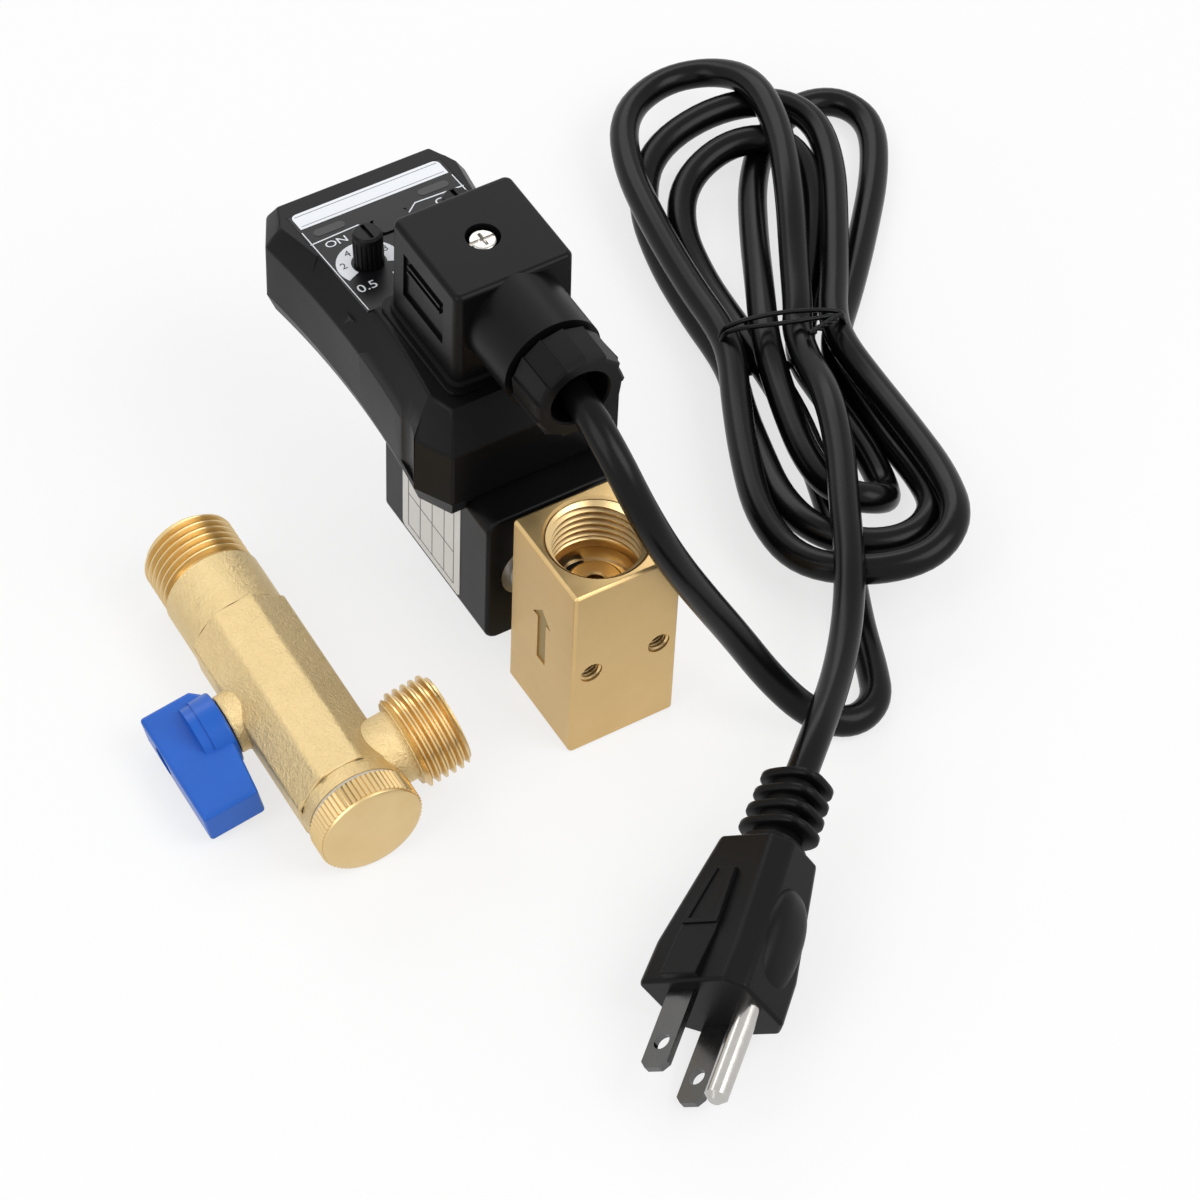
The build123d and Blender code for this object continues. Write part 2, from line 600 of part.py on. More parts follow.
def status_lamps():
    """Two light-emitting diodes on the board, reaching up to the label's windows."""
    top = BOARD_HEIGHT + BOARD_THICKNESS
    lamps = []
    for x, y in lamp_places():
        height = CASE_TOP - PANEL_DROP * (y - PANEL_START) / PANEL_LENGTH - LABEL_THICKNESS - PLAY - top
        lamp = rod_z(LAMP_DIAMETER - 2 * FIT, top, top + height, x, y)
        lamps.append(fillet(lamp.edges().group_by(Axis.Z)[-1], LAMP_DIAMETER / 2 - 2 * FIT))
    return Compound(children=lamps)


def controller_screws():
    screws = []
    for x, y in screw_places():
        shank = rod_z(CASE_SCREW - FIT, CASE_BOTTOM + 1, CASE_SPLIT + SCREW_BITE, x, y)
        head = rod_z(4.2, CASE_BOTTOM + 0.3, CASE_BOTTOM + 1.6, x, y)
        slot = box(x - 1.6, x + 1.6, y - 0.3, y + 0.3, CASE_BOTTOM, CASE_BOTTOM + 0.9)
        screws.append(shank + head - slot)
    return Compound(children=screws)


# ---- plug-in connector ----
def pin_boxes(gap=0.0):
    """The three flat pins of the connector's base: two across and one turned, as their standard has them."""
    low, high = CASE_TOP - CASE_ROOF - 2, CASE_TOP + PIN_LENGTH
    wide, thin = PIN_WIDTH / 2 + gap, PIN_THICKNESS / 2 + gap
    half = PIN_SPREAD / 2
    pair = [box(side * half - thin, side * half + thin, SOCKET_Y - wide, SOCKET_Y + wide, low, high)
            for side in (-1, 1)]
    y = SOCKET_Y + half
    return pair + [box(-wide, wide, y - thin, y + thin, low, high)]


def controller_pins():
    return Compound(children=pin_boxes())


def socket_plan(grow=0.0):
    """Plan of the connector at its base."""
    return Pos(0, SOCKET_Y, 0) * RectangleRounded(
        SOCKET_WIDTH + 2 * grow, SOCKET_BACK - SOCKET_FRONT + 2 * grow, SOCKET_CORNER + max(grow, -1.5))


def connector_gasket():
    z0 = CASE_TOP + PLINTH_HEIGHT
    gasket = extrude(Pos(0, 0, z0) * socket_plan(0.6), amount=GASKET_THICKNESS)
    gasket -= rod_z(SCREW_SHANK + 2 * PLAY, z0 - 1, z0 + 5, 0, SOCKET_Y)
    for pin in pin_boxes(PLAY):
        gasket -= pin
    return gasket


def connector_housing():
    outer = extrude(Pos(0, 0, SOCKET_BASE) * socket_plan(), amount=SOCKET_HEIGHT, taper=0.6)
    outer = fillet(outer.faces().sort_by(Axis.Z)[-1].edges(), 1.2)
    barrel = rod_y(GLAND_DIAMETER, GLAND_END, SOCKET_FRONT + 3, z=GLAND_Z)
    shell = outer + barrel
    hollow = extrude(Pos(0, 0, SOCKET_BASE - 1) * socket_plan(-SOCKET_WALL), amount=SOCKET_HEIGHT - 1.4)
    shell -= hollow
    pillar = rod_z(SCREW_RECESS + 2.4, SOCKET_TOP - 5.5, SOCKET_TOP - 1, 0, SOCKET_Y)
    shell += pillar
    shell -= rod_z(SCREW_RECESS, SOCKET_TOP - 2.6, SOCKET_TOP + 1, 0, SOCKET_Y)
    shell -= rod_z(SCREW_SHANK + 2 * FIT, SOCKET_BASE, SOCKET_TOP, 0, SOCKET_Y)
    shell -= rod_y(GLAND_BORE, GLAND_END - 1, SOCKET_FRONT + 4, z=GLAND_Z)
    for side in (-1, 1):
        shell -= side_recess(side)
    return shell


def side_recess(side):
    """Recessed field on a side of the connector, with two raised ribs left standing in it."""
    x = side * SOCKET_WIDTH / 2
    low, high = SOCKET_BASE + 6.5, SOCKET_BASE + 18.0
    near, far = SOCKET_Y - 8.0, SOCKET_Y + 8.0
    field = box(x - 0.8, x + 0.8, near, far, low, high)
    for rib in (0, 1):
        z = high - 2.2 - rib * 1.8
        field -= box(x - 1, x + 1, near + 1.5, far - 1.5, z - 0.3, z + 0.3)
    return field


def connector_insert():
    """Terminal block inside the connector that takes the pins."""
    z0 = SOCKET_BASE
    insert = extrude(Pos(0, 0, z0) * socket_plan(-SOCKET_WALL - FIT), amount=INSERT_HEIGHT)
    insert -= rod_z(SCREW_SHANK + 2 * FIT, z0 - 1, z0 + INSERT_HEIGHT + 1, 0, SOCKET_Y)
    for pin in pin_boxes(FIT):
        insert -= pin
    for side in (-1, 1):
        insert -= rod_z(3.4, z0 + INSERT_HEIGHT - 3, z0 + INSERT_HEIGHT + 1, side * PIN_SPREAD / 2 - side * 3.5,
                        SOCKET_Y - 7)
    return insert


def connector_screw():
    """Long screw that holds the connector down; its head lies in the recess on top."""
    head_base = SOCKET_TOP - 2.6
    head = Pos(0, SOCKET_Y, head_base + 0.9) * Cylinder(SCREW_HEAD / 2, 1.8)
    head = fillet(head.edges().group_by(Axis.Z)[-1], 0.6)
    head -= box(-SCREW_HEAD / 2, SCREW_HEAD / 2, SOCKET_Y - 0.4, SOCKET_Y + 0.4, head_base + 1.0, SOCKET_TOP)
    head -= box(-0.4, 0.4, SOCKET_Y - 1.8, SOCKET_Y + 1.8, head_base + 0.7, SOCKET_TOP)
    return head + rod_z(SCREW_SHANK - 0.4, CASE_TOP - 7, head_base + 0.1, 0, SOCKET_Y)


def gland_nut():
    """Clamping nut with notches round its outer half, so that it can be gripped."""
    y0, y1 = NUT_END, NUT_END + GLAND_NUT_LENGTH
    plan = Plane(origin=(0, y0, GLAND_Z), x_dir=(1, 0, 0), z_dir=(0, 1, 0)) * RegularPolygon(
        GLAND_NUT_DIAMETER / 2, GLAND_NOTCHES)
    nut = extrude(plan, amount=GLAND_NUT_LENGTH)
    nut &= rod_y(GLAND_NUT_DIAMETER - 0.5, y0, y1, z=GLAND_Z)
    nut = chamfer(nut.edges().group_by(Axis.Y)[0], 0.6)
    for i in range(GLAND_NOTCHES):
        turn = Pos(0, 0, GLAND_Z) * Rot(0, 360 * i / GLAND_NOTCHES + 22.5, 0)
        nut -= turn * (Pos(GLAND_NUT_DIAMETER / 2 - 0.5, y0 + 3.0, 0) * Box(1.2, 6.4, 2.6))
    nut += rod_y(GLAND_BORE - 2 * FIT, y1 - 1, y1 + NUT_GAP + 4, z=GLAND_Z)
    nut -= rod_y(GLAND_NUT_BORE, y0 - 1, y0 + 7, z=GLAND_Z)
    return nut - rod_y(CORD_DIAMETER + 2.4, y0, y1 + 8, z=GLAND_Z)


def gland_washer():
    y0 = GLAND_END + 4
    return ring_y(GLAND_BORE - 2 * FIT, CORD_DIAMETER + 2.0, y0, y0 + 1.2, z=GLAND_Z)


def gland_seal():
    y0 = GLAND_END + 5.2
    return ring_y(GLAND_BORE - 2 * FIT, CORD_DIAMETER + 2 * FIT, y0, y0 + 7.5, z=GLAND_Z)


# ---- mains cord ----
LEAD_ROUTE = [
    (0, SOCKET_FRONT - 2, GLAND_Z), (0, 9, GLAND_Z), (0, -4, 77), (2, -12.5, 67), (7, -16.5, 54),
    (14, -18, 40), (21.5, -20, 26), (28, -25, 13), (34, -31.5, 5), (41, -37, CORD_FLOOR),
    (49, -34.5, CORD_FLOOR), (53, -26, CORD_FLOOR), (59, -9.5, CORD_FLOOR),
]
TAIL_REST = [(61, 0, TAIL_HEIGHT), (57.5, -9, TAIL_HEIGHT), (48.5, -22, 15), (37, -35, 13)]
PLUG_TURN = Rot(0, 0, PLUG_HEADING) * Rot(0, PLUG_DIP, 0) * Rot(PLUG_ROLL, 0, 0)


def cord_tube(route):
    """A plain tube along straight runs joined by arcs as large as the runs allow."""
    points = [Vector(*p) for p in route]
    radii = []
    for before, here, after in zip(points, points[1:], points[2:]):
        turn = math.radians((here - before).get_angle(after - here))
        run = min((here - before).length, (after - here).length)
        radii.append(0.45 * run / math.tan(turn / 2))
    print("cord arc radii", [round(r, 1) for r in radii])
    path = FilletPolyline(*points, radius=radii)
    section = Plane(origin=path @ 0, z_dir=path % 0) * Circle(CORD_DIAMETER / 2)
    tube = sweep(section, path=path)
    print("length", round(path.length, 1), "volume ratio",
          round(tube.volume / (math.pi * CORD_DIAMETER ** 2 / 4 * path.length), 4))
    return tube


def hank_frame():
    """The hank's own frame: local Y runs along it through the tie."""
    return Pos(TIE_CENTRE[0], TIE_CENTRE[1], 0) * Rot(0, 0, TIE_ANGLE)


def cord_hank():
    """Outer shape of the tied hank: two flat lobes that meet in the waist under the tie."""
    upper = extrude(Pos(10, 46, 0) * Rot(0, 0, -9) * Ellipse(33, 40), amount=HANK_HEIGHT)
    upper -= extrude(Pos(-1, 50, 0) * Rot(0, 0, 4) * Ellipse(8, 14), amount=HANK_HEIGHT)
    lower = extrude(Pos(2, -39, 0) * Rot(0, 0, 5) * Ellipse(20.5, 36), amount=TAIL_HEIGHT - CORD_DIAMETER / 2 + 2 * FIT)
    lower -= extrude(Pos(3, -42, 0) * Rot(0, 0, 5) * Ellipse(6, 16), amount=HANK_HEIGHT)
    half = 2 * CORD_DIAMETER
    waist = box(-half, half, -18, 18, 1, 1 + TIE_HEIGHT)
    band = box(-60, 60, -TIE_WIDTH - 2, TIE_WIDTH + 2, -1, 40)
    return hank_frame() * (upper + lower - band + waist)


def twist_tie():
    """Flat coated wire wrapped twice round the waist of the hank."""
    wraps = []
    for shift in (-1.3, 1.3):
        half = 2 * CORD_DIAMETER + FIT
        wrap = half + TIE_THICKNESS
        outer = box(-wrap, wrap, shift - TIE_WIDTH / 2 + 0.1, shift + TIE_WIDTH / 2 - 0.1,
                    1 - FIT - TIE_THICKNESS, 1 + TIE_HEIGHT + FIT + TIE_THICKNESS)
        outer = fillet(outer.edges().filter_by(Axis.Y), 1.5)
        wraps.append(outer - box(-half, half, -9, 9, 1 - FIT, 1 + TIE_HEIGHT + FIT))
    return hank_frame() * Compound(children=wraps)


# ---- plug ----
def plug_section(width, height, rest):
    """Section of the plug body, with its lower blade-side corner cut flat where it rests."""
    w, h = width / 2, height / 2
    return make_face(Polyline(
        (-w, -h + rest * 0.69), (-w + rest, -h), (w - 3, -h), (w, -h + 3), (w, h - 3), (w - 3, h),
        (-w + 1, h), (-w, h - 1), close=True))


def plug_body_local():
    """The moulded plug with its strain relief; local X is the way the blades point, face at X = 0."""
    shift = 3.0                                    # the body reaches further on the earth pin's side
    def section(x, width, height, rest):
        plane = Plane(origin=(x, shift, 0), x_dir=(0, 1, 0), z_dir=(1, 0, 0))
        return plane * plug_section(width, height, rest)
    body = loft([
        section(0, PLUG_FACE_WIDTH, PLUG_FACE_HEIGHT, 6.0),
        section(-10, PLUG_FACE_WIDTH - 0.6, PLUG_FACE_HEIGHT - 0.4, 6.0),
        section(-PLUG_LENGTH, PLUG_SHOULDER_WIDTH, PLUG_SHOULDER_HEIGHT, 4.0)], ruled=True)
    slope = math.degrees(math.atan2((PLUG_FACE_HEIGHT - PLUG_SHOULDER_HEIGHT) / 2, PLUG_LENGTH - 10))
    ridge = make_face(Polyline((-0.4, -4.3), (-0.4, 4.3), (-11, 4.3), (-28, 2.4), (-28, -2.4), (-11, -4.3), close=True))
    grip = extrude(Pos(0, 0, -3) * ridge, amount=4.0)
    body += Pos(-10, shift - 1.5, PLUG_FACE_HEIGHT / 2 - 0.1) * Rot(0, -slope, 0) * Pos(10, 0, 0) * grip
    hump = Pos(-13, shift + PLUG_FACE_WIDTH / 2 - 6, -1) * Cylinder(8, PLUG_SHOULDER_HEIGHT - 2)
    body += fillet(hump.edges(), 1.5)
    y = shift
    relief = rod_x(RELIEF_DIAMETER, -PLUG_LENGTH - RELIEF_LENGTH, -PLUG_LENGTH + 1, y=y)
    pitch = RELIEF_LENGTH / RELIEF_RINGS
    for i in range(RELIEF_RINGS):
        end = -PLUG_LENGTH - i * pitch - pitch * 0.5
        disc = rod_x(RELIEF_RING, end - RELIEF_RING_THICKNESS, end, y=y)
        relief += fillet(disc.edges(), 0.5)
    body += relief
    core = rod_x(CORD_DIAMETER, -PLUG_LENGTH - RELIEF_LENGTH - 1, -PLUG_LENGTH - RELIEF_LENGTH + 3, y=y)
    return body - core, y


def blade_local(side):
    y0, y1 = -BLADE_WIDTH / 2, BLADE_WIDTH / 2
    z = side * BLADE_SPACING / 2
    blade = box(-4, BLADE_LENGTH, y0, y1, z - BLADE_THICKNESS / 2, z + BLADE_THICKNESS / 2)
    blade = chamfer(blade.edges().group_by(Axis.X)[-1].filter_by(Axis.Z), 1.4)
    return blade - rod_z(BLADE_HOLE, z - 2, z + 2, x=BLADE_HOLE_FROM_FACE)


def earth_local():
    pin = rod_x(EARTH_DIAMETER, -4, EARTH_LENGTH, y=EARTH_OFFSET)
    return chamfer(pin.edges().group_by(Axis.X)[-1], 1.2)


def plug_pieces():
    """Body, blades and earth pin, laid so that the lowest of them rests on the ground."""
    body, relief_y = plug_body_local()
    blades = Compound(children=[blade_local(-1), blade_local(1)])
    earth = earth_local()
    body -= Compound(children=[blade_local(-1), blade_local(1)])
    body -= earth
    low = min((PLUG_TURN * piece).bounding_box().min.Z for piece in (body, blades, earth))
    place = Pos(PLUG_PLACE[0], PLUG_PLACE[1], -low) * PLUG_TURN
    tail_end = (place * Pos(-PLUG_LENGTH - RELIEF_LENGTH + 3, relief_y, 0)).position
    tail_mouth = (place * Pos(-PLUG_LENGTH - RELIEF_LENGTH - 9, relief_y, 0)).position
    return place * body, place * blades, place * earth, tail_end, tail_mouth


# ---- strainer ball valve, in its own frame ----
STRAINER_FRAME = (
    Pos(STRAINER_PLACE[0], STRAINER_PLACE[1], STRAINER_AXIS_Z)
    * Rot(0, 0, STRAINER_TURN) * Rot(0, STRAINER_ROLL, 0)
)
BODY_START = CAP_LENGTH + CAP_GASKET
CHAMBER_END = STEM_Y - BALL_DIAMETER / 2 - 1.5
SEAT_START = CHAMBER_END


def strainer_body():
    start, end = BODY_START, STRAINER_LENGTH
    tube = rod_y(STRAINER_DIAMETER, start, end - OUTLET_THREAD)
    octagon = Plane(origin=(0, FLATS_START, 0), x_dir=(1, 0, 0), z_dir=(0, 1, 0)) * (
        Rot(0, 0, 22.5) * RegularPolygon(STRAINER_FLATS / 2, 8, major_radius=False))
    pads = extrude(octagon, amount=FLATS_END - FLATS_START)
    pads &= rod_y(STRAINER_CORNERS, FLATS_START, FLATS_END)
    thread = chamfer(rod_y(THREAD_DIAMETER, end - OUTLET_THREAD - 0.5, end).edges().group_by(Axis.Y)[-1], 1.0)
    neck = rod_x(SIDE_NECK, 5, SIDE_PORT_REACH - SIDE_THREAD + 0.5, y=SIDE_PORT_Y)
    side = rod_x(THREAD_DIAMETER, SIDE_PORT_REACH - SIDE_THREAD, SIDE_PORT_REACH, y=SIDE_PORT_Y)
    side = chamfer(side.edges().group_by(Axis.X)[0], 1.6)
    side = chamfer(side.edges().group_by(Axis.X)[-1], 1.0)
    boss = rod_x(STEM_BOSS, -STEM_BOSS_REACH, -5, y=STEM_Y)
    body = tube + pads + thread + neck + side + boss
    body -= rod_y(CHAMBER_BORE, start - 1, CHAMBER_END - 3)
    body -= rod_y(WATERWAY, start, end)
    body -= rod_y(CHAMBER_BORE, SEAT_START, end + 1)
    body -= rod_x(SIDE_BORE, 3, SIDE_PORT_REACH + 1, y=SIDE_PORT_Y)
    body -= rod_x(STEM_DIAMETER + FIT, -STEM_BOSS_REACH - 1, -5, y=STEM_Y)
    return body - rod_x(SEAL_DIAMETER, -STEM_BOSS_REACH + 1.0, -CHAMBER_BORE / 2 + 0.5, y=STEM_Y)


def strainer_cap():
    """Knurled cap that closes the screen chamber."""
    cap = rod_y(CAP_DIAMETER, 0, CAP_LENGTH)
    cap = fillet(cap.edges().group_by(Axis.Y)[0], 1.0)
    spigot = rod_y(CHAMBER_BORE - FIT, CAP_LENGTH - 1, BODY_START + CAP_SPIGOT)
    return cap + spigot - rod_y(SCREEN_DIAMETER + 2 * FIT, CAP_LENGTH - 2, BODY_START + CAP_SPIGOT + 1)


def cap_gasket():
    return ring_y(CAP_DIAMETER - 2.0, CHAMBER_BORE + FIT, CAP_LENGTH, BODY_START)


def strainer_screen():
    """Perforated sleeve between the cap and the ball's chamber."""
    start = CAP_LENGTH - 2 + FIT
    screen = ring_y(SCREEN_DIAMETER, SCREEN_DIAMETER - 2 * SCREEN_WALL, start, start + SCREEN_LENGTH)
    for row in range(5):
        for turn in range(0, 180, 30):
            hole = Rot(0, turn, 0) * rod_x(1.5, -20, 20, y=start + 7 + row * 2.6)
            screen -= hole
    return screen


def ball_form(clearance=0.0):
    return Pos(0, STEM_Y, 0) * Sphere(BALL_DIAMETER / 2 + clearance)


def ball():
    """Bored ball of the shut-off, with the slot that the stem's tongue turns it by."""
    sphere = ball_form() - rod_y(WATERWAY, 0, STRAINER_LENGTH)
    return sphere - box(-BALL_DIAMETER, -BALL_DIAMETER / 2 + 1.7, STEM_Y - 3.2, STEM_Y + 3.2, -1.1, 1.1)


def ball_seats():
    rings = []
    for start in (SEAT_START, STEM_Y + BALL_DIAMETER / 2 + 1.5 - SEAT_WIDTH):
        ring = ring_y(CHAMBER_BORE - FIT, WATERWAY, start, start + SEAT_WIDTH)
        rings.append(ring - ball_form(0.05))
    return Compound(children=rings)


def seat_retainer():
    start = STEM_Y + BALL_DIAMETER / 2 + 1.5
    ring = ring_y(CHAMBER_BORE - FIT, WATERWAY, start, start + RETAINER_LENGTH)
    return ring - box(-10, 10, start + RETAINER_LENGTH - 1.5, start + RETAINER_LENGTH + 1, -0.9, 0.9)


def valve_stem():
    """Stem with a tongue in the ball's slot and two flats for the handle."""
    ball_side = -BALL_DIAMETER / 2 - PLAY
    stem = rod_x(STEM_DIAMETER, -STEM_BOSS_REACH - 0.2, ball_side, y=STEM_Y)
    stem += box(ball_side - 0.5, -BALL_DIAMETER / 2 + 1.5, STEM_Y - 2.4, STEM_Y + 2.4, -1.0, 1.0)
    flats = rod_x(STEM_DIAMETER, -STEM_REACH, -STEM_BOSS_REACH, y=STEM_Y)
    flats &= box(-STEM_REACH, -STEM_BOSS_REACH, STEM_Y - STEM_DIAMETER, STEM_Y + STEM_DIAMETER, -2.1, 2.1)
    return stem + flats - rod_x(2.5, -STEM_REACH - 1, -STEM_REACH + 5, y=STEM_Y)


def stem_seals():
    """Two O-rings round the stem in the boss."""
    rings = []
    for start in (-STEM_BOSS_REACH + 1.0 + FIT, -STEM_BOSS_REACH + 2.7 + FIT):
        ring = rod_x(SEAL_DIAMETER - FIT, start, start + 1.5, y=STEM_Y)
        rings.append(ring - rod_x(STEM_DIAMETER + FIT, start - 1, start + 2, y=STEM_Y))
    return Compound(children=rings)


def strainer_handle():
    """Wing handle: a round hub on the stem and a bar whose long end lies along the tube when open."""
    inner = -STEM_BOSS_REACH - PLAY
    hub = rod_x(HUB_DIAMETER, inner - HUB_LENGTH, inner, y=STEM_Y)
    hub += rod_x(HUB_DIAMETER - 0.8, inner - HUB_LENGTH - 2.2, inner - HUB_LENGTH + 0.2, y=STEM_Y)
    hub = fillet(hub.edges().group_by(Axis.X)[-1], 0.6)
    outline = make_face(Polyline(
        (-HANDLE_REACH, STEM_Y - HANDLE_LONG_END), (-HANDLE_HEEL, STEM_Y - HANDLE_LONG_END),
        (inner - 0.6, STEM_Y - HUB_DIAMETER / 2 + 1), (inner - 0.6, STEM_Y + HUB_DIAMETER / 2 - 1),
        (inner - 3.0, STEM_Y + HANDLE_SHORT_END), (-HANDLE_REACH, STEM_Y + HANDLE_SHORT_END), close=True))
    bar = extrude(Pos(0, 0, -HANDLE_THICKNESS / 2) * outline, amount=HANDLE_THICKNESS)
    bar = fillet(bar.edges(), 0.8)
    handle = bar + hub
    socket = rod_x(STEM_DIAMETER + 2 * FIT, -STEM_REACH - FIT, inner + 1, y=STEM_Y)
    socket &= box(-40, 40, STEM_Y - 10, STEM_Y + 10, -2.1 - FIT, 2.1 + FIT)
    handle -= socket
    handle -= rod_x(HANDLE_SCREW_RECESS, -HANDLE_REACH - 1, -STEM_REACH - 0.8, y=STEM_Y)
    return handle - rod_x(3.2, -HANDLE_REACH, -STEM_REACH + 1, y=STEM_Y)


def handle_screw():
    head = rod_x(5.8, -STEM_REACH - 2.6, -STEM_REACH - 0.8, y=STEM_Y)
    head -= box(-STEM_REACH - 3, -STEM_REACH - 1.8, STEM_Y - 3, STEM_Y + 3, -0.4, 0.4)
    return head + rod_x(2.4, -STEM_REACH - 1, -STEM_REACH + 4.5, y=STEM_Y)


# ---- build and write ----
def main():
    os.makedirs("parts", exist_ok=True)
    plug, blades, earth, tail_end, tail_mouth = plug_pieces()
    tail_route = TAIL_REST + [
        (tail_mouth.X, tail_mouth.Y, tail_mouth.Z), (tail_end.X, tail_end.Y, tail_end.Z),
    ]
    fixed = {
        "valve_body": valve_body, "operator_tube": operator_tube, "tube_seal": tube_seal,
        "fixed_core": fixed_core, "plunger": plunger, "plunger_seal": plunger_seal,
        "plunger_spring": plunger_spring, "coil_housing": coil_housing, "coil_yokes": coil_yokes,
        "coil_bobbin": coil_bobbin, "coil_winding": coil_winding, "coil_terminals": coil_terminals,
        "coil_washer": coil_washer, "coil_nut": coil_nut, "controller_base": controller_base,
        "controller_cover": controller_cover, "face_label": face_label, "circuit_board": circuit_board,
        "board_components": board_components, "potentiometers": potentiometers,
        "test_switch": test_switch, "test_button": test_button, "status_lamps": status_lamps,
        "controller_screws": controller_screws, "controller_pins": controller_pins,
        "connector_gasket": connector_gasket, "connector_housing": connector_housing,
        "connector_insert": connector_insert, "connector_screw": connector_screw,
        "gland_nut": gland_nut, "gland_washer": gland_washer, "gland_seal": gland_seal,
        "cord_hank": cord_hank, "twist_tie": twist_tie,
    }
    strainer = {
        "strainer_body": strainer_body, "strainer_cap": strainer_cap, "cap_gasket": cap_gasket,
        "strainer_screen": strainer_screen, "shutoff_ball": ball, "ball_seats": ball_seats,
        "seat_retainer": seat_retainer, "valve_stem": valve_stem, "stem_seals": stem_seals,
        "strainer_handle": strainer_handle, "handle_screw": handle_screw,
    }
    solids = {name: make() for name, make in fixed.items()}
    solids.update({name: STRAINER_FRAME * make() for name, make in strainer.items()})
    for name, (x, y) in zip(("on_time_knob", "off_time_knob"), knob_places()):
        solids[name] = knob(x, y)
    solids.update({"plug_body": plug, "plug_blades": blades, "plug_earth_pin": earth})
    solids["cord_lead"] = cord_tube(LEAD_ROUTE)
    solids["cord_tail"] = cord_tube(tail_route)
    for name, solid in solids.items():
        solid.label = name
        export_step(solid, f"parts/{name}.step")


main()
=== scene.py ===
import math

import bmesh
import bpy
from mathutils import Matrix, Vector


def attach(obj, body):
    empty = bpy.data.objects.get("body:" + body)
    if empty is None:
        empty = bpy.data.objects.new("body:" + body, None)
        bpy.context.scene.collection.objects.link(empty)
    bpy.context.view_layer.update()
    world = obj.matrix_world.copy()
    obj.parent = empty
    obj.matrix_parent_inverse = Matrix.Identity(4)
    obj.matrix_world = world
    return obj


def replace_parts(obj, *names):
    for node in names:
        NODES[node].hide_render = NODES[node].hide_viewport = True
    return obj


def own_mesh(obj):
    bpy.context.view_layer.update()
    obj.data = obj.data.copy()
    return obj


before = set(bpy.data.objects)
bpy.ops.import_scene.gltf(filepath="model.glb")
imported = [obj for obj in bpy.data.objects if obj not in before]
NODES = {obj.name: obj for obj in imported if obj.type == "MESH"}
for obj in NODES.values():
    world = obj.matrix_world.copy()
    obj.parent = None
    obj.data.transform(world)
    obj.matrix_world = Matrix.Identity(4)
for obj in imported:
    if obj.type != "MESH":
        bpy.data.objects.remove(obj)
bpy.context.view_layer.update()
MM = 0.001


def moved(x, y, z):
    return Matrix.Translation((x, y, z))


def turned(degrees, axis):
    return Matrix.Rotation(math.radians(degrees), 4, axis)


# ---- sizes shared with the solids, millimetres ----
BLOCK_SIDE = 25.0
BLOCK_HEIGHT = 48.4
ARROW_Z = 25.0
PORT_BORE = 10.5275
PORT_THREAD = 13.0
PORT_DEPTH = 17.0
FIXING_SIDE, FIXING_Z = 8.0, 23.5
THREAD_MAJOR = 10.4775
THREAD_MINOR = 9.32
THREAD_ROOT = 9.28
THREAD_PITCH = 1.814
COIL_HALF = 15.5
CASE_TOP = 67.0
PANEL_START = 61.0
PANEL_RISE = math.degrees(math.atan2(4.3, 42.5))
DIAL_X, DIAL_Y = 10.6, 14.0
SOCKET_FRONT = 33.7
GLAND_Z = 81.3
STRAINER_LENGTH = 85.0
OUTLET_THREAD = 13.0
SIDE_PORT_Y, SIDE_PORT_REACH, SIDE_THREAD = 15.0, 25.5, 11.0
CORD = 6.7
CORD_FLOOR = CORD / 2 + 0.05
PANEL = moved(0, PANEL_START, CASE_TOP) @ turned(-PANEL_RISE, "X")
STRAINER = moved(-61.6, -17.9, 11.5) @ turned(-1.5, "Z") @ turned(-12.0, "Y")
PLUG = moved(-27.0, -86.5, 10.12) @ turned(219.9, "Z") @ turned(8.0, "Y") @ turned(34.5, "X")
HANK = moved(83.5, 58.0, 0) @ turned(-18.0, "Z")


# ---- nodes and finishes ----
class Amount:
    """A number worked out by nodes; arithmetic on it adds Math nodes."""

    def __init__(self, nodes, socket):
        self.nodes, self.socket = nodes, socket

    def result(self, operation, a, b):
        return self.nodes.amount("ShaderNodeMath", {"operation": operation}, {0: a, 1: b})

    def __add__(self, other):
        return self.result("ADD", self, other)

    def __radd__(self, other):
        return self.result("ADD", other, self)

    def __mul__(self, other):
        return self.result("MULTIPLY", self, other)

    def __rmul__(self, other):
        return self.result("MULTIPLY", other, self)

    def __truediv__(self, other):
        return self.result("DIVIDE", self, other)

    def __rtruediv__(self, other):
        return self.result("DIVIDE", other, self)


class Nodes:
    """A node tree whose nodes all come from one method."""

    def __init__(self, tree):
        self.tree = tree

    def feed(self, target, value):
        """Link a socket, or set it to a plain value."""
        if isinstance(value, Amount):
            value = value.socket
        if isinstance(value, bpy.types.NodeSocket):
            self.tree.links.new(value, target)
        else:
            target.default_value = value

    def node(self, kind, settings=None, values=None):
        """A node from its type, its settings and the values or links of its sockets."""
        node = self.tree.nodes.new(kind)
        for key, value in (settings or {}).items():
            setattr(node, key, value)
        for key, value in (values or {}).items():
            self.feed(node.inputs[key], value)
        return node

    def amount(self, kind, settings=None, values=None):
        return Amount(self, self.node(kind, settings, values).outputs[0])


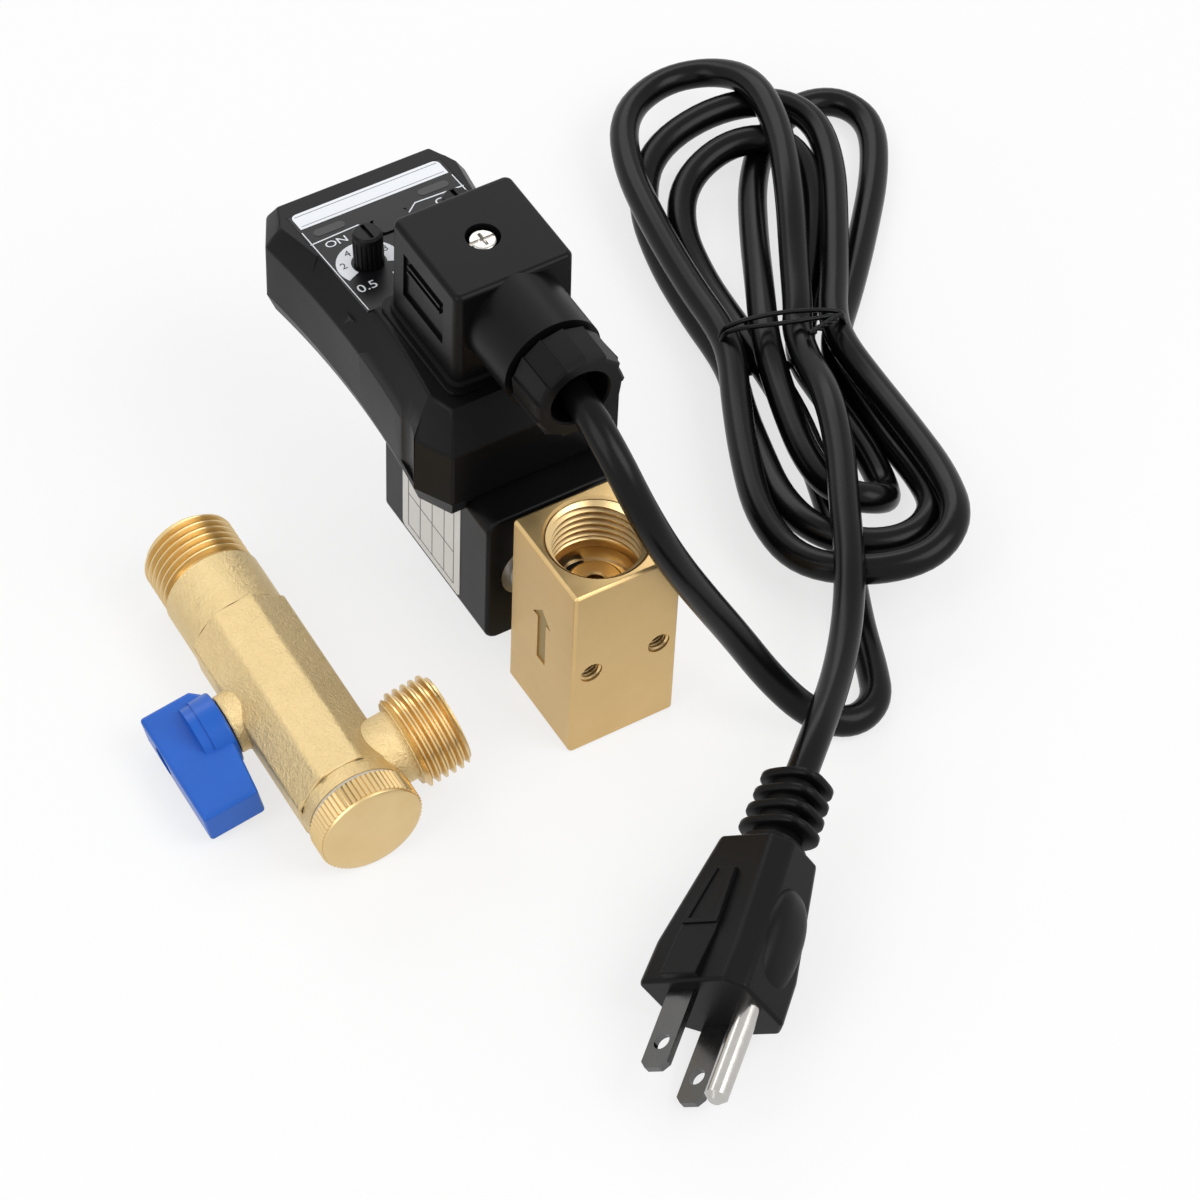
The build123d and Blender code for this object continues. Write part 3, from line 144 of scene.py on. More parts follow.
class Finish(Nodes):
    """One surface finish: a shader and the nodes that vary it over the surface."""

    def __init__(self, name, colour, metallic=0.0, roughness=0.5, specular=0.5):
        self.material = bpy.data.materials.new(name)
        self.material.use_nodes = True
        self.material.diffuse_color = (*colour, 1)
        super().__init__(self.material.node_tree)
        self.shader = self.tree.nodes["Principled BSDF"]
        self.set("Base Color", (*colour, 1))
        self.set("Metallic", metallic)
        self.set("Roughness", roughness)
        self.set("Specular IOR Level", specular)
        self.place = self.node("ShaderNodeTexCoord").outputs["Object"]

    def set(self, socket, value):
        self.feed(self.shader.inputs[socket], value)

    def stretched(self, x, y, z):
        """Object coordinates drawn out along an axis, for milled marks and wound turns."""
        return self.node("ShaderNodeMapping", {}, {"Vector": self.place, "Scale": (x, y, z)}).outputs[0]

    def noise(self, per_metre, detail, roughness, where=None):
        return self.amount("ShaderNodeTexNoise", {}, {
            "Vector": where or self.place, "Scale": per_metre, "Detail": detail, "Roughness": roughness})

    def tint(self, amount, low, high):
        """Colour that goes from low to high as the amount goes from 0 to 1."""
        mix = self.node("ShaderNodeMix", {"data_type": "RGBA"}, {0: amount, 6: (*low, 1), 7: (*high, 1)})
        self.set("Base Color", mix.outputs[2])

    def relief(self, height, depth_mm, strength):
        bump = self.node("ShaderNodeBump", {}, {
            "Strength": strength, "Distance": depth_mm * MM, "Height": height})
        self.set("Normal", bump.outputs[0])


def shade(colour, factor):
    return tuple(min(1, channel * factor) for channel in colour)


def machined_brass():
    """Milled bar with fine tool marks and a slight stain."""
    f = Finish("machined_brass", (0.66, 0.46, 0.20), 1.0, 0.34)
    mill = f.noise(900, 2, 0.6, f.stretched(0.16, 0.16, 3.0))
    stain = f.noise(70, 4, 0.6)
    f.tint(stain * 0.75 + mill * 0.25, (0.56, 0.375, 0.15), (0.75, 0.545, 0.27))
    f.set("Roughness", mill * 0.26 + stain * 0.2 + 0.18)
    f.relief(mill + stain * 0.3, 0.05, 0.7)
    return f


def turned_brass():
    """Brighter brass of threads and turned faces."""
    f = Finish("turned_brass", (0.74, 0.55, 0.27), 1.0, 0.3)
    stain = f.noise(110, 3, 0.5)
    fine = f.noise(2600, 2, 0.5)
    f.tint(stain, (0.66, 0.47, 0.21), (0.80, 0.61, 0.33))
    f.set("Roughness", fine * 0.08 + stain * 0.12 + 0.22)
    f.relief(fine, 0.006, 0.4)
    return f


def cast_brass():
    """Tumbled casting: a coarse grain over soft lumps, worn brighter in places."""
    f = Finish("cast_brass", (0.70, 0.54, 0.28), 0.92, 0.42)
    grain = f.noise(1500, 4, 0.7)
    lumps = f.noise(420, 3, 0.6)
    worn = f.noise(60, 3, 0.55)
    f.tint(grain * 0.4 + lumps * 0.25 + worn * 0.35, (0.55, 0.395, 0.17), (0.84, 0.67, 0.38))
    f.set("Roughness", grain * 0.22 + worn * 0.16 + 0.22)
    f.relief(grain + lumps * 0.7, 0.3, 1.0)
    return f


def arrow_painted_shade():
    """Darker brass for the floor of a pressed mark: painted shade of the recess."""
    f = Finish("arrow_painted_shade", (0.36, 0.27, 0.12), 0.8, 0.55)
    grain = f.noise(1800, 3, 0.6)
    f.tint(grain, (0.30, 0.22, 0.09), (0.44, 0.33, 0.16))
    f.relief(grain, 0.05, 0.7)
    return f


def plated(name, colour, rough):
    """Bright metal with light wear."""
    f = Finish(name, colour, 1.0, rough)
    wear = f.noise(500, 3, 0.6)
    f.tint(wear, shade(colour, 0.88), shade(colour, 1.08))
    f.set("Roughness", wear * 0.18 + (rough - 0.09))
    f.relief(f.noise(3000, 2, 0.5), 0.006, 0.5)
    return f


def moulded(name, colour, rough, grain_mm=0.03, grain_scale=2600, specular=0.4):
    """Moulded plastic with a fine eroded grain and a faint unevenness of gloss."""
    f = Finish(name, colour, 0.0, rough, specular)
    grain = f.noise(grain_scale, 3, 0.55)
    cloud = f.noise(60, 3, 0.5)
    f.tint(cloud, shade(colour, 0.8), shade(colour, 1.25))
    f.set("Roughness", cloud * 0.14 + grain * 0.08 + (rough - 0.11))
    f.relief(grain, grain_mm, 0.5)
    return f


def winding_copper():
    """Enamelled wire wound side by side."""
    f = Finish("winding_copper", (0.55, 0.22, 0.09), 0.9, 0.3)
    turns = f.noise(2400, 1, 0.4, f.stretched(0.05, 2.0, 0.05))
    f.tint(turns, (0.40, 0.14, 0.05), (0.68, 0.30, 0.13))
    f.relief(turns, 0.1, 0.8)
    return f


def printed(name, colour, rough=0.45):
    """Ink or paper with a fine speck."""
    f = Finish(name, colour, 0.0, rough, 0.4)
    speck = f.noise(1800, 3, 0.6)
    f.tint(speck, shade(colour, 0.93), shade(colour, 1.05))
    f.set("Roughness", speck * 0.1 + (rough - 0.05))
    f.relief(speck, 0.008, 0.4)
    return f


# The arrow's darker brass is painted shade of its recess.
BRASS, TURNED, CAST, ARROW_PAINTED_SHADE = machined_brass(), turned_brass(), cast_brass(), arrow_painted_shade()
STEEL = plated("turned_steel", (0.56, 0.55, 0.53), 0.32)
NICKEL = plated("nickel_plate", (0.50, 0.485, 0.46), 0.2)
DARK_NICKEL = plated("dark_nickel", (0.13, 0.13, 0.13), 0.24)
SATIN_BLACK = moulded("satin_black", (0.0035, 0.0035, 0.004), 0.34, 0.02, 3200, 0.12)
GRAINED_BLACK = moulded("grained_black", (0.0035, 0.0035, 0.004), 0.38, 0.05, 2300, 0.13)
GLOSS_BLACK = moulded("gloss_black", (0.003, 0.003, 0.0035), 0.2, 0.006, 1500, 0.25)
PVC = moulded("cord_pvc", (0.0025, 0.0025, 0.003), 0.25, 0.012, 1800, 0.16)
RUBBER = moulded("soft_rubber", (0.005, 0.005, 0.005), 0.6, 0.03, 2400, 0.18)
BLUE = moulded("handle_blue", (0.008, 0.10, 0.48), 0.32, 0.03, 2000, 0.35)
LABEL = moulded("label_sheet", (0.005, 0.005, 0.006), 0.34, 0.012, 3400, 0.18)
BOARD = moulded("board_green", (0.01, 0.09, 0.03), 0.4, 0.02, 900)
LAMP = moulded("lamp_red", (0.30, 0.012, 0.010), 0.18, 0.004, 700, 0.6)
PTFE = moulded("white_ptfe", (0.80, 0.80, 0.78), 0.4, 0.02, 900)
FIBRE = moulded("pressed_fibre", (0.62, 0.60, 0.55), 0.75, 0.05, 1500)
COPPER = winding_copper()
INK_WHITE = printed("ink_white", (0.78, 0.80, 0.84))
INK_BLACK = printed("ink_black", (0.02, 0.02, 0.022))
INK_GREY = printed("ink_grey", (0.16, 0.16, 0.17))
STICKER = printed("sticker_white", (0.74, 0.74, 0.73), 0.5)

NODE_FINISH = {
    "valve_body": BRASS, "operator_tube": STEEL, "tube_seal": RUBBER, "fixed_core": STEEL, "plunger": STEEL,
    "plunger_seal": RUBBER, "plunger_spring": STEEL, "coil_housing": SATIN_BLACK, "coil_yokes": STEEL,
    "coil_bobbin": PTFE, "coil_winding": COPPER, "coil_terminals": NICKEL, "coil_washer": NICKEL,
    "coil_nut": NICKEL, "controller_base": GRAINED_BLACK, "controller_cover": GRAINED_BLACK,
    "face_label": LABEL, "circuit_board": BOARD, "board_components": GLOSS_BLACK,
    "potentiometers": GLOSS_BLACK, "test_switch": GLOSS_BLACK, "test_button": LABEL, "status_lamps": LAMP,
    "controller_screws": NICKEL, "controller_pins": NICKEL, "connector_gasket": RUBBER,
    "connector_housing": SATIN_BLACK, "connector_insert": SATIN_BLACK, "connector_screw": NICKEL,
    "gland_nut": GRAINED_BLACK, "gland_washer": GLOSS_BLACK, "gland_seal": RUBBER,
    "plug_body": GRAINED_BLACK, "plug_blades": DARK_NICKEL, "plug_earth_pin": NICKEL,
    "strainer_body": CAST, "strainer_cap": TURNED, "cap_gasket": FIBRE,
    "strainer_screen": STEEL, "shutoff_ball": NICKEL, "ball_seats": PTFE, "seat_retainer": TURNED,
    "valve_stem": TURNED, "stem_seals": RUBBER, "strainer_handle": BLUE, "handle_screw": NICKEL,
    "on_time_knob": GRAINED_BLACK, "off_time_knob": GRAINED_BLACK,
}
for node_name, node_finish in NODE_FINISH.items():
    NODES[node_name].data.materials.clear()
    NODES[node_name].data.materials.append(node_finish.material)


# ---- helpers ----
DOUBLES = 2e-6


def new_object(name, data):
    piece = bpy.data.objects.new(name, data)
    bpy.context.collection.objects.link(piece)
    return piece


def show(name, mesh, finish, body):
    """A finished piece that rides on a body."""
    piece = new_object(name, mesh)
    mesh.materials.clear()
    mesh.materials.append(finish.material)
    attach(piece, body)
    return piece


def finished_mesh(rough):
    """The mesh that a rough object's modifiers or curve give; the rough object goes."""
    graph = bpy.context.evaluated_depsgraph_get()
    mesh = bpy.data.meshes.new_from_object(rough.evaluated_get(graph))
    bpy.data.objects.remove(rough)
    return mesh


def mesh_from(name, points_mm, faces, placed=Matrix()):
    """A mesh from points in millimetres, carried to its place by a matrix also in millimetres."""
    mesh = bpy.data.meshes.new(name)
    mesh.from_pydata([tuple((placed @ Vector(p)) * MM) for p in points_mm], [], faces)
    mesh.update()
    return mesh


def in_metres(placed):
    """The same place for a mesh whose points are in metres."""
    place = Matrix(placed)
    place.translation *= MM
    return place


def edited(mesh, edit):
    """The mesh after an edit of its corners, edges and faces."""
    form = bmesh.new()
    form.from_mesh(mesh)
    edit(form)
    form.to_mesh(mesh)
    form.free()
    return mesh


def smooth(mesh, degrees=35.0):
    """Smooth shading, with a crease where two faces meet at more than the angle."""
    def shade_faces(form):
        for face in form.faces:
            face.smooth = True
        for edge in form.edges:
            edge.smooth = len(edge.link_faces) == 2 and edge.calc_face_angle(3.2) < math.radians(degrees)
    return edited(mesh, shade_faces)


def outward(mesh):
    """Faces turned outwards once doubles are merged."""
    def turn_faces(form):
        bmesh.ops.remove_doubles(form, verts=form.verts, dist=DOUBLES)
        bmesh.ops.recalc_face_normals(form, faces=form.faces)
    return edited(mesh, turn_faces)


def even_shading(name, mesh):
    """Shading that follows the large faces, so that a rounded edge doesn't cloud the flat beside it."""
    rough = new_object(name + "_rough", mesh)
    rough.modifiers.new("weigh", "WEIGHTED_NORMAL").keep_sharp = True
    return finished_mesh(rough)


def round_edges(form, width, degrees, segments, clamp, chosen=lambda edge: True):
    """Round the chosen edges that are sharper than the angle; the width is in millimetres."""
    edges = [edge for edge in form.edges if len(edge.link_faces) == 2
             and edge.calc_face_angle(0) > math.radians(degrees) and chosen(edge)]
    bmesh.ops.bevel(form, geom=edges, offset=width * MM, offset_type="OFFSET", segments=segments,
                    profile=0.5, affect="EDGES", clamp_overlap=clamp)


def bevelled(mesh, width):
    return edited(mesh, lambda form: round_edges(form, width, 20, 3, True))


def softened(node, name, body, finish, width=0, at_edge=None, change=None):
    """A merged copy of a solid with some outward edges rounded, shown in the solid's stead.

    The test at_edge says, from the middle of an edge in millimetres, whether that edge is rounded.
    """
    form = bmesh.new()
    form.from_mesh(NODES[node].data)
    bmesh.ops.remove_doubles(form, verts=form.verts, dist=2 * DOUBLES)
    if change:
        change(form)
    bmesh.ops.dissolve_limit(form, angle_limit=math.radians(0.04), verts=form.verts, edges=form.edges)
    if at_edge:
        round_edges(form, width, 20, 2, False, lambda edge: edge.is_convex and at_edge(
            *((edge.verts[0].co + edge.verts[1].co) / 2 / MM)))
    mesh = bpy.data.meshes.new(name)
    form.to_mesh(mesh)
    form.free()
    piece = show(name, even_shading(name, smooth(mesh, 34)), finish, body)
    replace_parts(piece, node)
    return piece


def joined(name, meshes):
    form = bmesh.new()
    for mesh in meshes:
        form.from_mesh(mesh)
    whole = bpy.data.meshes.new(name)
    form.to_mesh(whole)
    form.free()
    return whole


def belt(a, b, count):
    """Faces between two closed rings of points that start at a and at b."""
    return [(a + j, a + (j + 1) % count, b + (j + 1) % count, b + j) for j in range(count)]


def slab(name, outlines, low, high, placed):
    """Flat shapes with straight sides, from outlines in the plane of local X and Y."""
    points, faces = [], []
    for outline in outlines:
        first, count = len(points), len(outline)
        points += [(x, y, low) for x, y in outline] + [(x, y, high) for x, y in outline]
        faces += [tuple(range(first, first + count)), tuple(range(first + count, first + 2 * count))]
        faces += belt(first, first + count, count)
    return outward(mesh_from(name, points, faces, placed))


def loft(name, sections, placed):
    """Skin over closed sections of equal point counts; a section is x and its (y, z) points."""
    count = len(sections[0][1])
    points = [(x, y, z) for x, ring in sections for y, z in ring]
    faces = [tuple(range(count)), tuple(range(len(points) - count, len(points)))]
    for i in range(len(sections) - 1):
        faces += belt(i * count, (i + 1) * count, count)
    return outward(mesh_from(name, points, faces, placed))


def lathe(name, profile, placed, steps=64):
    """A shape turned about local Y from (radius, y) points in millimetres."""
    points, faces = [], []
    rows = len(profile)
    for i in range(steps):
        angle = 2 * math.pi * i / steps
        points += [(r * math.cos(angle), y, r * math.sin(angle)) for r, y in profile]
        a, b = i * rows, (i + 1) % steps * rows
        faces += [(a + j, a + j + 1, b + j + 1, b + j) for j in range(rows - 1)]
    return smooth(outward(mesh_from(name, points, faces, placed)))


def thread(name, root, crest, start, end, placed, steps=72, inward=False, pitch=THREAD_PITCH):
    """Helical thread about local Y between two planes; the ridge dies away at both ends."""
    tooth = ((0.10, 0.0), (0.40, 1.0), (0.60, 1.0), (0.90, 0.0))
    rows = (int((end - start) / pitch) + 2) * len(tooth)
    points, faces = [], []
    for i in range(steps + 1):
        for j in range(rows):
            part, high = tooth[j % len(tooth)]
            y = start + pitch * (j // len(tooth) + part + i / steps - 1)
            fade = min(1.0, max(0.0, (y - start) / pitch * 2), max(0.0, (end - y) / pitch * 2))
            y = min(end, max(start, y))
            radius = root + (crest - root) * high * fade
            angle = -2 * math.pi * i / steps
            points.append((radius * math.cos(angle), y, radius * math.sin(angle)))
    for i in range(steps):
        for j in range(rows - 1):
            a, b = i * rows + j, (i + 1) * rows + j
            faces.append((b, b + 1, a + 1, a) if inward else (a, a + 1, b + 1, b))

    def merge(form):
        bmesh.ops.remove_doubles(form, verts=form.verts, dist=DOUBLES)
        bmesh.ops.dissolve_degenerate(form, edges=form.edges, dist=1e-7)
    return smooth(edited(mesh_from(name, points, faces, placed), merge), 50)


def all_round(name, unit, count, finish):
    """The unit repeated at equal angles about local Y."""
    tree = bpy.data.node_groups.new(name + "_rule", "GeometryNodeTree")
    tree.interface.new_socket("Unit", in_out="INPUT", socket_type="NodeSocketGeometry")
    number = tree.interface.new_socket("Count", in_out="INPUT", socket_type="NodeSocketInt")
    tree.interface.new_socket("Geometry", in_out="OUTPUT", socket_type="NodeSocketGeometry")
    rule = Nodes(tree)
    given = rule.node("NodeGroupInput")
    spots = rule.node("GeometryNodeMeshLine", {}, {"Count": given.outputs["Count"], "Offset": (0, 0, 0)})
    angle = rule.amount("GeometryNodeInputIndex") / given.outputs["Count"] * (2 * math.pi)
    turn = rule.node("ShaderNodeCombineXYZ", {}, {"Y": angle})
    copies = rule.node("GeometryNodeInstanceOnPoints", {}, {
        "Points": spots.outputs["Mesh"], "Instance": given.outputs["Unit"], "Rotation": turn.outputs[0]})
    real = rule.node("GeometryNodeRealizeInstances", {}, {0: copies.outputs[0]})
    coat = rule.node("GeometryNodeSetMaterial", {}, {
        "Geometry": real.outputs[0], "Material": finish.material})
    rule.node("NodeGroupOutput", {}, {0: coat.outputs[0]})
    rough = new_object(name + "_unit", unit)
    repeat = rough.modifiers.new("round", "NODES")
    repeat.node_group = tree
    repeat[number.identifier] = count
    return finished_mesh(rough)


def left_face(out, z=0.0):
    """The plane that faces left at X = -out: local X runs to the front, local Y up."""
    return Matrix(((0, 0, -1, -out), (-1, 0, 0, 0), (0, 1, 0, z), (0, 0, 0, 1)))


# ---- mains cord ----
COLUMNS = (-10.5, -3.5, 3.5, 10.5)
ROWS = (5.5, 12.4)
F, G = CORD_FLOOR, CORD_FLOOR + 6.9


def ease(x):
    x = min(1.0, max(0.0, x))
    return x * x * (3 - 2 * x)


def in_hank(across, along, height):
    """A point of the hank from its place in the hank's own frame, in millimetres."""
    return tuple(HANK @ Vector((across, along, height)))


def turn_of_hank(end, reach, left, right, lean, start, finish, levels, steps=13):
    """One loop from a place under the tie out to its end and back.

    A place is a row and a column; levels are the heights of the loop's own stretches.
    """
    points = []
    a, b = COLUMNS[start[1]], COLUMNS[finish[1]]
    heights = [ROWS[start[0]], *levels, ROWS[finish[0]]]
    for i in range(1, steps):
        part = i / steps
        out = (1 - math.cos(2 * math.pi * part)) / 2
        along = reach * out
        side = math.sin(2 * math.pi * part) * (1 if b < a else -1)
        across = (a + (b - a) * ease(part)) * (1 - ease(along / reach * 1.3))
        across += side * (0.15 + 1.1 * out) * (right if side > 0 else left)
        across += along * math.tan(math.radians(lean))
        spot = part * (len(heights) - 1)
        low = min(int(spot), len(heights) - 2)
        blend = ease(spot - low)
        height = heights[low] * (1 - blend) + heights[low + 1] * blend
        points.append(in_hank(across, end * along, max(CORD_FLOOR, height)))
    return points


LEAD_ROUTE = [
    (0, SOCKET_FRONT - 2, GLAND_Z), (0, 9, GLAND_Z), (0, -4, 77), (2, -12.5, 67), (7, -16.5, 54),
    (14, -18, 40), (21.5, -20, 26), (28, -25, 13), (34, -31.5, 5), (41, -37, F),
    (49, -34.5, F), (53, -26, F), (57, -15, F), (64, 0, F), (71, 20, F), (77, 40, F + 1),
]
HANK_ROUTE = (
    turn_of_hank(1, 64, 22, 15, 8, (0, 1), (0, 2), (F, F, F + 3, G, G, F + 4, F))
    + turn_of_hank(-1, 50, 10, 9, 8, (0, 2), (1, 1), (F, F, F, G + 1, G, G, G))
    + turn_of_hank(1, 80, 15, 20, 20, (1, 1), (0, 3), (G, F + 4, F, F, F, F, F))
    + turn_of_hank(-1, 63, 20, 18, 7, (0, 3), (0, 0), (F, F, G, G, G, F + 3, F))
    + turn_of_hank(1, 76, 33, 20, 9, (0, 0), (1, 3), (F, F, F + 4, G, G, G, G))
    + turn_of_hank(-1, 73, 27, 21, 6, (1, 3), (1, 0), (G, G + 2, G + 6, G + 4, G, G, G))
    + turn_of_hank(1, 87, 25, 17, 0, (1, 0), (1, 2), (G, G, G, G, G + 6, G + 7, G + 3))
)
TAIL_ROUTE = [
    in_hank(3.5, 1.0, 12.0), in_hank(2.8, -9.0, 13.2), (79.5, 34, 17.6), (73, 19, 17.8), (65, 5, 17.8),
    (57.5, -9, 17.4), (48.5, -22, 16), (37, -35, 17), (23.0, -47.9, 20.7), (13.9, -55.5, 19.0),
]


def spline_curve(name, route, width, resolution=6):
    data = bpy.data.curves.new(name, "CURVE")
    data.dimensions = "3D"
    data.bevel_depth = width / 2 * MM
    data.bevel_resolution = 8
    data.resolution_u = resolution
    data.use_fill_caps = True
    line = data.splines.new("NURBS")
    line.points.add(len(route) - 1)
    for point, place in zip(line.points, route):
        point.co = (*(c * MM for c in place), 1)
    line.order_u = 3
    line.use_endpoint_u = True
    data.materials.append(PVC.material)
    return new_object(name, data)


def spline_length(piece):
    """Length of the line itself, in metres."""
    bare = piece.data.copy()
    bare.bevel_depth = 0
    places = [v.co for v in finished_mesh(new_object("bare_line", bare)).vertices]
    return sum((b - a).length for a, b in zip(places, places[1:]))


def make_cord():
    cord = spline_curve("mains_cord", LEAD_ROUTE + HANK_ROUTE + TAIL_ROUTE, CORD)
    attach(cord, "valve")
    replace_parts(cord, "cord_lead", "cord_hank", "cord_tail")
    return cord


# ---- wire tie ----
def tie_wire():
    """Coated wire twice round the waist of the hank, its ends twisted together on the right."""
    ring = ((14.2, 8), (14.2, 15.2), (11.5, 16.9), (4, 17.2), (-4, 17.2), (-11.5, 16.9), (-14.2, 15.2),
            (-14.2, 8), (-14.2, 2.6), (-11.5, 1.2), (-4, 1.2), (4, 1.2), (11.5, 1.2), (14.2, 2.6))
    route = []
    for wrap in (0, 1):
        for step, (across, height) in enumerate(ring):
            bow = 1.6 * math.exp(-(across / 8) ** 2) if height > 10 else 0
            along = -1.4 + 2.6 * (wrap + step / len(ring)) / 2 + (bow if wrap else -bow * 0.5)
            route.append(in_hank(across, along, height))
    route += [in_hank(14.2, 1.2, 8), in_hank(13.2, -0.4, 15.8)]
    wire = [finished_mesh(spline_curve("tie_wraps", route, 1.1, 5))]
    for strand in (0, 1):
        twist = []
        for i in range(14):
            angle = i * 1.35 + strand * math.pi
            twist.append(in_hank(12.2 - 0.62 * i + 0.55 * math.cos(angle), -2.0 - 0.33 * i,
                                 17.4 + 0.55 * math.sin(angle)))
        wire.append(finished_mesh(spline_curve("tie_twist", twist, 1.0, 3)))
    mesh = joined("tie_wire", wire)
    for face in mesh.polygons:
        face.use_smooth = True
    tie = show("tie_wire", mesh, PVC, "valve")
    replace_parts(tie, "twist_tie")
    return tie


# ---- plug: local X runs towards the blades, and the moulding is centred on local Y = 3 ----
def oval(half_y, half_z, power=2.6, steps=40, middle=3.0):
    """A rounded section: the power takes it from an ellipse at 2 towards a rectangle."""
    ring = []
    for i in range(steps):
        c, s = math.cos(2 * math.pi * i / steps), math.sin(2 * math.pi * i / steps)
        ring.append((middle + half_y * math.copysign(abs(c) ** (2 / power), c),
                     half_z * math.copysign(abs(s) ** (2 / power), s)))
    return ring


def plug_block():
    """Tapered block with its corners cut, one of them more than the others."""
    def section(x, w, h, cut):
        corners = ((-w, -h + cut * 0.69), (-w + cut, -h), (w - 3, -h), (w, -h + 3), (w, h - 3.4),
                   (w - 3.4, h), (-w + 1.2, h), (-w, h - 1.2))
        return x, [(3 + y, z) for y, z in corners]
    block = loft("plug_block", [section(0, 12.5, 10, 6), section(-10, 12.2, 9.8, 6),
                                section(-36.5, 8.5, 7.5, 4)], PLUG)
    return even_shading("plug_block", smooth(bevelled(block, 0.9), 40))


def thumb_rib():
    """Raised frame on the block's upper face, which slopes down towards the cord."""
    slope = math.degrees(math.atan2(2.4, 26.5))
    on_top = PLUG @ moved(-10, 1.5, 9.8) @ turned(-slope, "Y") @ moved(10, 0, 0)
    outline = [(-0.6, -4.3), (-11, -4.6), (-27.5, -2.5), (-27.5, 2.5), (-11, 4.6), (-0.6, 4.3)]
    plate = slab("rib_plate", [outline], -2.0, 0.9, on_top)
    bars = slab("rib_bars", [[(-13, -4.3), (-14.2, -4.2), (-14.2, 4.2), (-13, 4.3)],
                             [(-14, -4.3), (-27, -2.6), (-27, -1.7), (-14, -3.3)],
                             [(-14, 4.3), (-27, 2.6), (-27, 1.7), (-14, 3.3)]], 0.8, 1.3, on_top)
    return [even_shading("rib_plate", smooth(bevelled(plate, 0.3), 40)),
            even_shading("rib_bars", smooth(bevelled(bars, 0.12), 40))]


def grip_swelling():
    """Smooth swelling on the side of the block for the fingers."""
    length, half, steps = 24, 13, 28
    sections = []
    for i in range(steps + 1):
        x = -27 + length * i / steps
        bulge = max(0.0, 1 - abs((x + 14) / half) ** 2.4) ** 0.5
        sections.append((x, oval(max(0.05, 4.1 * bulge), max(0.05, 6.0 * bulge), 3.0, 32, 12.2)))
    return smooth(loft("grip_swelling", sections, PLUG), 60)


def strain_relief():
    """Flattened sleeve with four ribs that narrow towards the cord."""
    x = -38.6
    sections = [(-36, oval(6.4, 6.0)), (-38.2, oval(6.4, 6.0)), (x, oval(5.4, 4.9))]
    for rib in range(4):
        wide = 8.5 - 0.35 * rib
        for step, half_y, half_z in ((1.9, 5.2, 4.5), (0.02, wide - 0.5, 5.4), (0.45, wide, 5.9),
                                     (1.0, wide, 5.9), (0.45, wide - 0.5, 5.4), (0.02, 5.1, 4.4)):
            x -= step
            sections.append((x, oval(half_y, half_z, 2.8 if half_y > 6 else 2.2)))
    sections += [(x - 0.8, oval(4.9, 4.4, 2.0)), (x - 1.0, oval(3.4, 3.4, 2.0))]
    return smooth(loft("strain_relief", sections, PLUG), 50)


def plug_moulding():
    parts = [plug_block(), *thumb_rib(), grip_swelling(), strain_relief()]
    plug = show("plug_moulding", joined("plug_moulding", parts), GRAINED_BLACK, "valve")
    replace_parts(plug, "plug_body")
    return plug


# ---- brass block ----
def port_threads():
    """Threads of the two ports; local Y runs from each mouth inwards."""
    ports = (("outlet_thread", BLOCK_HEIGHT, -90, 0.6), ("inlet_thread", 0.0, 90, 0.1))
    for name, face_z, turn, start in ports:
        mesh = thread(name, PORT_BORE - 0.02, THREAD_MINOR, start, PORT_THREAD - 0.6,
                      moved(0, 0, face_z) @ turned(turn, "X"), 56, True)
        show(name, mesh, TURNED, "valve")


def port_seat():
    """Turned seat round the waterway on the floor of the top port, with the sleeve round it."""
    profile = [(2.3, -0.4), (2.3, 2.9), (2.7, 3.3), (5.5, 3.3), (6.0, 2.9), (6.2, 0.5), (6.6, 0.2),
               (8.5, 0.2), (8.86, 0.6), (8.86, 3.95)]
    placed = moved(0, 0, BLOCK_HEIGHT - PORT_DEPTH) @ turned(90, "X")
    show("port_seat", lathe("port_seat", profile, placed), TURNED, "valve")


def fixing_threads():
    for name, side in (("fixing_thread_left", -FIXING_SIDE), ("fixing_thread_right", FIXING_SIDE)):
        placed = moved(side, -BLOCK_SIDE / 2, FIXING_Z)
        show(name, thread(name, 2.48, 2.08, 0.35, 6.8, placed, 36, True, 0.8), TURNED, "valve")


def flow_arrow():
    """Darker floor of the arrow pressed into the block's left face: painted shade of the recess."""
    half, neck, tip = 3.4, 1.5, 7.9
    outline = [(-neck, -tip), (neck, -tip), (neck, tip - half), (half, tip - half), (0, tip),
               (-half, tip - half), (-neck, tip - half)]
    mesh = slab("arrow_floor", [outline], -0.05, 0.04, left_face(12.1, ARROW_Z))
    show("arrow_floor", mesh, ARROW_PAINTED_SHADE, "valve")


def brass_block():
    def outer_edge(x, y, z):
        at_fixing_hole = abs(y) > 12.4 and 6 < abs(x) < 10.2 and 21 < z < 26
        at_arrow = x < -12 and abs(y) < 4 and 16 < z < 34
        at_operator = y > 12.4 and math.hypot(x, z - 25) < 8
        return max(abs(x), abs(y)) > 11.5 and not (at_fixing_hole or at_arrow or at_operator)
    softened("valve_body", "brass_block", "valve", BRASS, 0.18, outer_edge)


def return_spring():
    """The plunger's spring, given a mesh of its own; in the valve it shortens against the fixed core as the
    plunger lifts.
    """
    spring = softened("plunger_spring", "return_spring", "valve", STEEL)
    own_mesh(spring)


# ---- coil and timer ----
def coil_shell():
    def outer_edge(x, y, z):
        return (abs(x) > 12 or z < 12) and (y < 17.5 or y > 59.5)
    softened("coil_housing", "coil_shell", "valve", SATIN_BLACK, 0.5, outer_edge)


def cover_shell():
    def outer_edge(x, y, z):
        side = abs(x)
        at_dimples = side > 19 and 31 < y < 60 and z < 60
        at_label = side < 19.2 and 60 < y < 98.2
        at_screw = math.hypot(side - 17.5, min(abs(y - 94.5), abs(y - 66))) <= 3.5
        outside = side > 15 or y < 28 or y > 98.5
        return z > 46 and outside and not (at_dimples or at_label or at_screw)
    softened("controller_cover", "cover_shell", "valve", GRAINED_BLACK, 0.5, outer_edge)


